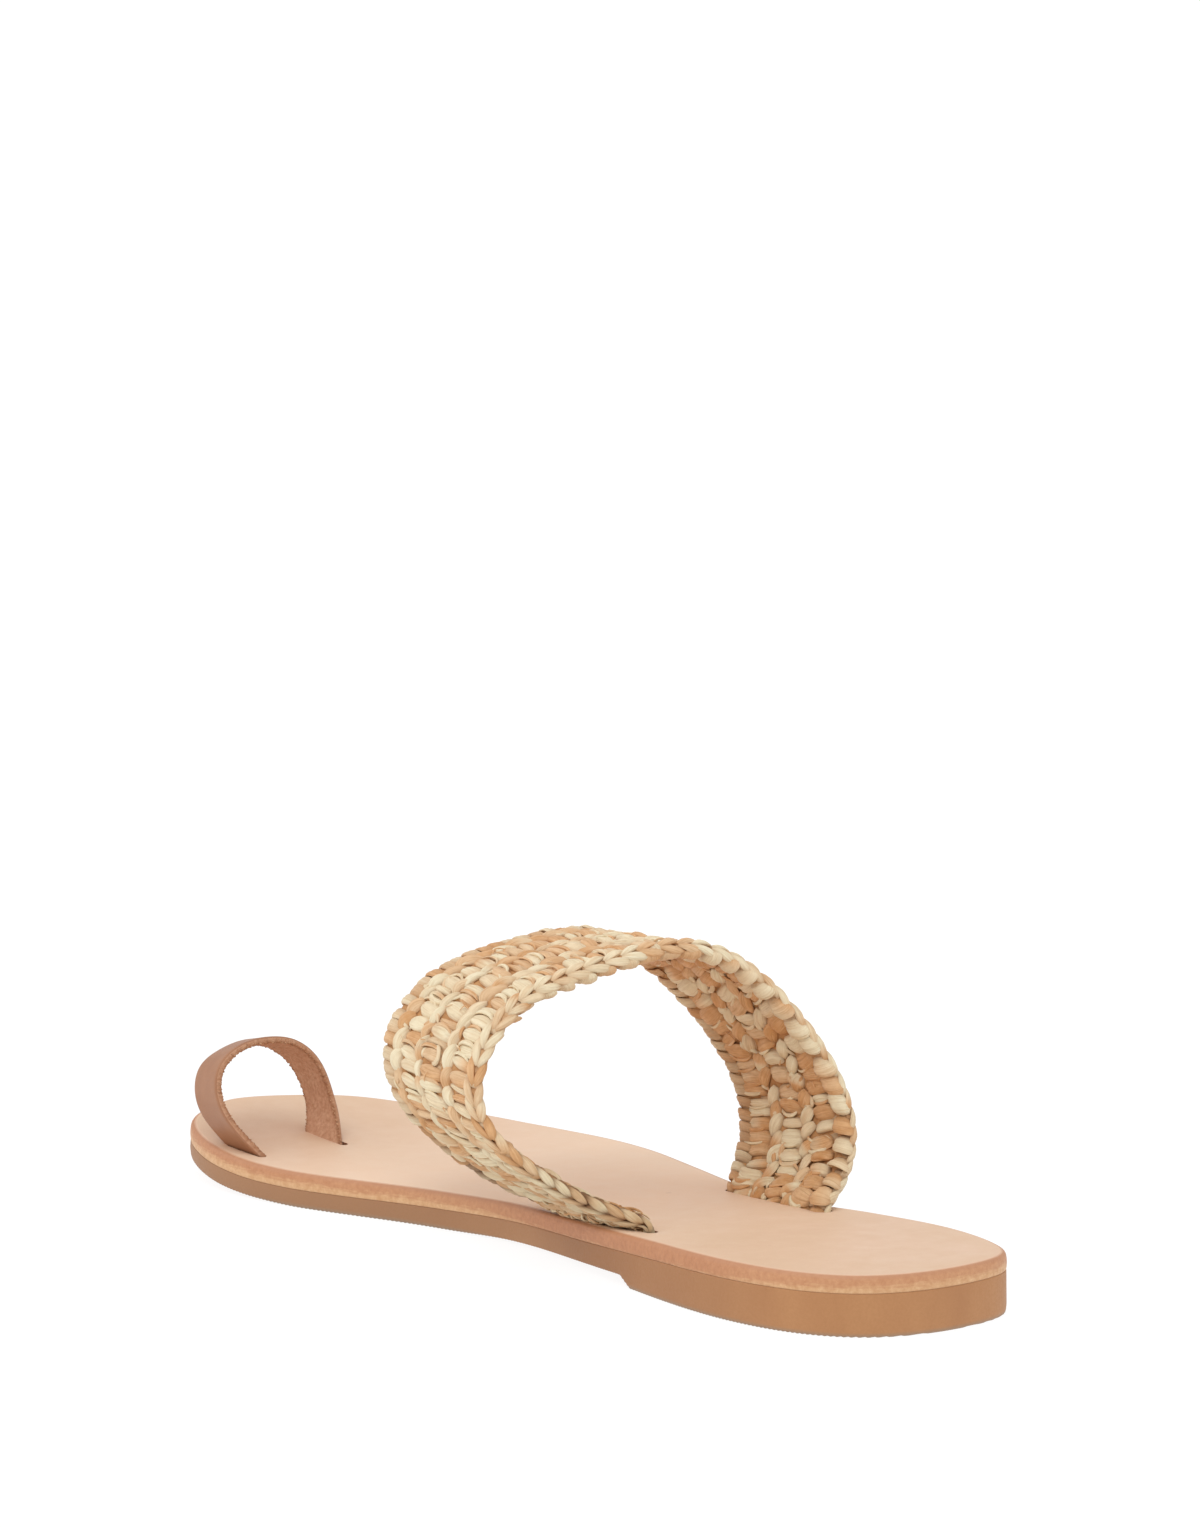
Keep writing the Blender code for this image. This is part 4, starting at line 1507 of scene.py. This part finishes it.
def tints(chance, along, runs, deep, count):
    """Tints of each ring and side of each strand: some strands turn from one colour to another."""
    near = draw_tint(chance, along, runs)
    far = np.where(chance.uniform(size=len(along)) < TURNING_ODDS, draw_tint(chance, along, runs), near)
    share = smooth_step(np.linspace(-0.3, 1.3, count))
    length_wise = near[:, None] + (far - near)[:, None] * share
    sides = chance.normal(0.0, 0.13, len(along))[:, None, None] * RIBBON[:, 0]
    return np.clip((1.0 + deep) * length_wise[:, :, None] + sides, 0.0, 1.4)


print("odds of tan at the middle of the outer face:", round(float(read_table(OUTER_RUNS, 0.5)), 2))

# %% Raffia
CREAM_AND_TAN = paint(240, 227, 196), paint(221, 175, 127)
SHADED = paint(214, 187, 144), paint(188, 133, 84)
LIT = paint(246, 234, 203), paint(234, 192, 146)
DEEP_TAN = paint(209, 152, 93)
HOLLOW_SHADE_BROWN = paint(184, 134, 88)
SLIT_SHADE_BROWN = paint(116, 76, 44)
SLIT_SHADE_GREY = paint(232, 226, 217)
raffia, tree, shader = new_material("raffia", 0.55, 0.3)
tint = read_points(tree, "tint")
fibre = read_points(tree, "fibre", "Vector")
lines = use(tree, streaks, {"Place": stretched(tree, fibre, 1.3, 0.12, 1.0), "Fine": 1.0})
hairs = use(tree, streaks, {"Place": stretched(tree, fibre, 3.2, 0.1, 1.0), "Fine": 1.0})
shade = blend(tree, tint, *SHADED)
light = blend(tree, tint, *LIT)
tone = blend(tree, tint, *CREAM_AND_TAN)
tone = tinge(tree, tone, DEEP_TAN, tint, 0.8, 1.3)
tone = blend(tree, times(tree, lines["Share"], 0.7), tone, shade)
patch = patchy(tree, stretched(tree, fibre, 0.5, 0.35, 1.0), 1.0)
tone = blend(tree, times(tree, patch, 0.55), tone, light)
tone = tinge(tree, tone, light, hairs["Share"], 0.58, 0.95, 0.6)
tone = tinge(tree, tone, shade, hairs["Share"], 0.42, 0.1, 0.6)
hollow_shade = read_points(tree, "hollow_shade")
slit_shade = read_points(tree, "slit_shade")
# painted shade where strands dip low between others
tone = blend(tree, times(tree, hollow_shade, 0.55), tone, HOLLOW_SHADE_BROWN)
# painted shade near the slits: darker gaps, and the whole yarn darker and greyer
tone = blend(tree, times(tree, hollow_shade, slit_shade), tone, SLIT_SHADE_BROWN)
tone = blend(tree, slit_shade, tone, SLIT_SHADE_GREY, "MULTIPLY")
ridges = work_out(tree, "ADD", lines["Height"], hairs["Height"])
feed(tree, shader, colour=tone, normal=relief(tree, ridges, 0.8, 0.3))
print("raffia finish:", raffia.name)

# %% Join strands into one mesh
# heights over which the painted shade on the low points of strands fades out
HOLLOW_FROM = 0.35
HOLLOW_RISE = 1.1
STRAND_FOLD = 50.0
# painted shade near the slits, where the band leans out and faces down
SLIT_SHADE_ALONG = [
    # along the band, how much painted shade it gets
    (5.0, 1.0), (20.0, 0.9), (48.0, 0.0), (150.0, 0.0), (185.0, 0.28), (206.0, 0.4),
]
STRAND_APART = 7.3


def crochet(name, groups, deep):
    """One mesh from groups of strands: rings, heights, half widths, runs of colour and chance of each.
    Deep is how much deeper its tan is."""
    points, faces = [], []
    values = {"tint": [], "fibre": [], "hollow_shade": [], "slit_shade": []}
    used = 0
    serial = 0
    for rings, height, wide, runs, chance in groups:
        count, long, around, _ = rings.shape
        points.append(rings.reshape(-1, 3))
        faces.append(tube_faces(count, long, around) + used)
        used += count * long * around
        along = rings[:, long // 2, :, 0].mean(axis=1)
        fibre = np.zeros(rings.shape)
        fibre[..., 0] = wide.max(axis=1)[:, None, None] * RIBBON[:, 0]
        run = np.linalg.norm(np.diff(rings.mean(axis=2), axis=1), axis=2).cumsum(axis=1)
        fibre[:, 1:, :, 1] = run[:, :, None]
        fibre[..., 2] = (serial + np.arange(count))[:, None, None] * STRAND_APART
        serial += count
        values["tint"].append(tints(chance, along, runs, deep, long).ravel())
        values["fibre"].append(fibre.reshape(-1, 3))
        # painted shade on the low points of each strand
        values["hollow_shade"].append(1.0 - smooth_step((height - HOLLOW_FROM) / HOLLOW_RISE).ravel())
        # painted shade near the slits
        values["slit_shade"].append(read_table(SLIT_SHADE_ALONG, rings[..., 0]).ravel())
    laid = place(lay_band(np.concatenate(points)))
    piece = mesh_piece(name, laid, np.concatenate(faces), [raffia], sharp=STRAND_FOLD)
    for key, rows in values.items():
        point_values(piece, key, np.concatenate(rows))
    dress(piece, "instep_band")


print("soil at the lateral slit:", SLIT_SHADE_ALONG[-1][1])

# %% Crochet both faces
FACES = {
    "raffia_outer_face": {
        "facing": 1.0, "seed": 21, "deep": 0.0, "row_drift": 0.0, "hook_odds": 0.1, "fuzz_count": 190,
        "rows": OUTER_ROWS, "runs": OUTER_RUNS, "link_runs": OUTER_RUNS,
        "stitches": {"lean": 0.6, "snug": 1.04, "fine": 1.0, "over": 1.0, "loose": 1.3},
        "links": {"slant": -1.1, "broad": 0.42, "proud": 0.66, "sag": 0.9},
        "crossings": {"pitch": 5.6, "broad": 1.0},
    },
    "raffia_inner_face": {
        "facing": -1.0, "seed": 22, "deep": 0.3, "row_drift": 1.6, "hook_odds": 0.02, "fuzz_count": 30,
        "rows": INNER_ROWS, "runs": INNER_RUNS, "link_runs": INNER_LINK_RUNS,
        "stitches": {"lean": 3.2, "snug": 1.1, "fine": 1.1, "over": 0.3, "loose": 1.7},
        "links": {"slant": 4.2, "broad": 0.32, "proud": 0.9, "sag": 0.0},
        "crossings": {"pitch": 2.8, "broad": 1.5},
    },
}
FUZZ_FROM, FUZZ_TO = 4.0, 11.0
FUZZ = {"along": (FUZZ_FROM, FUZZ_TO), "across": (-18.0, 16.0), "lift": 1.0, "swirl": 1.1, "broad": 1.7}
STRAY_COUNT = 26
STRAY_ALONG = (FUZZ_TO, BAND_LENGTH - FUZZ_TO)
STRAYS = {"along": STRAY_ALONG, "across": (-17.0, 17.0), "lift": 0.7, "swirl": 3.0, "broad": 1.0}
DYE_LOT = 40


def face_rows(chance, face):
    """Every row of strands of a face with its runs of colour, in the order in which they are worked."""
    facing, runs, link_runs = face["facing"], face["runs"], face["link_runs"]
    made = []
    for kind, start, end in face["rows"]:
        if kind == "pillow":
            pillows = pillow_row(chance, start, end, facing, **face["stitches"])
            hooks = hook_row(chance, pillows, facing, face["hook_odds"])
            made += [(pillows, runs), (brow_row(chance, pillows, facing), link_runs), (hooks, runs)]
        else:
            made.append((link_row(chance, start, end, facing, **face["links"]), link_runs))
            made.append((crossing_row(chance, start, end, facing, **face["crossings"]), link_runs))
    made.append((loose_fibres(chance, face["fuzz_count"], facing, **FUZZ), runs))
    made.append((loose_fibres(chance, STRAY_COUNT, facing, **STRAYS), runs))
    return made


for name, face in FACES.items():
    dye = np.random.default_rng(face["seed"] + DYE_LOT)
    groups = []
    for row, runs in face_rows(np.random.default_rng(face["seed"]), face):
        paths = row[0]
        paths[..., 1] += face["row_drift"] * drift(paths[..., 0])
        rings = strands(*row, face["facing"])
        groups.append((rings, face["facing"] * rings[..., 2], row[1], runs, dye))
    crochet(name, groups, face["deep"])

# %% Plait one rim and wrap the other
RIM_SEED = 31
UNDER_SINK = 0.4
TOE_RIM_DEEP = 0.1


def rim_group(row, rim, runs, chance):
    """A row of strands bent round a rim, as a group for the mesh."""
    rings = strands(*row, 1.0)
    return bend_round_rim(rings, rim), rings[..., 2], row[1], runs, chance


chance = np.random.default_rng(RIM_SEED)
plait = [(plait_row(chance, *lobe), HEEL_RIM_RUNS) for lobe in LOBES]
plait.append((scale_row(chance, HEEL_RIM), SCALE_RUNS))
plait.append((wrap_row(chance, HEEL_RIM, UNDER_SINK), TOE_RIM_RUNS))
groups = [rim_group(row, HEEL_RIM, runs, np.random.default_rng(PLAIT_SEED)) for row, runs in plait]
crochet(HEEL_RIM.name, groups, 0.0)
wraps = wrap_row(chance, TOE_RIM, 0.0)
crochet(TOE_RIM.name, [rim_group(wraps, TOE_RIM, TOE_RIM_RUNS, chance)], TOE_RIM_DEEP)

# %% [markdown]
# ## Behind the stitches
# Between the stitches the eye meets the backs of other strands in shadow. A plain wall inside the band,
# painted a darker tan as painted shade, with an oval cord inside each rim, stands for those, so that no
# daylight shows through.

# %% Wall and rim cords
WALL_HALF = 0.5
WALL_INSET = 3.0
WALL_BOXY = 0.4
WALL_STEPS = 160
WALL_CORNERS = 24
# painted shade: the wall is painted a darker tan, as the shaded backs of strands
WALL_SHADE_TANS = paint(176, 126, 82), paint(200, 152, 104)
wall_paint, tree, shader = new_material("raffia_ground", 0.8, 0.2)
nap = patchy(tree, millimetres(tree), 0.6)
feed(tree, shader, colour=blend(tree, nap, *WALL_SHADE_TANS))

turns = np.linspace(0.0, 2.0 * math.pi, WALL_CORNERS, endpoint=False)
round_out = np.stack([np.cos(turns), np.sin(turns)], axis=1)
boxy = np.sign(round_out) * np.abs(round_out) ** WALL_BOXY
along = np.linspace(0.0, BAND_LENGTH, WALL_STEPS)[:, None]
cords = [(0.0, boxy * (BAND_WIDTH / 2.0 - WALL_INSET, WALL_HALF), 1.0)]
for rim in (HEEL_RIM, TOE_RIM):
    axis = rim.side * (BAND_WIDTH / 2.0 - rim.core - RIM_SKIN)
    cords.append((axis, round_out * (rim.core, RIM_CORE_OUT), narrowing(along, rim.side)))
flat = np.stack([
    flat_points(along, axis + size * cord[:, 0], size * cord[:, 1] * swell(along))
    for axis, cord, size in cords
])
wall_points = place(lay_band(flat).reshape(-1, 3))
wall_faces = tube_faces(len(cords), WALL_STEPS, WALL_CORNERS)
wall = mesh_piece("raffia_wall", wall_points, wall_faces, [wall_paint])
dress(wall, "instep_band")
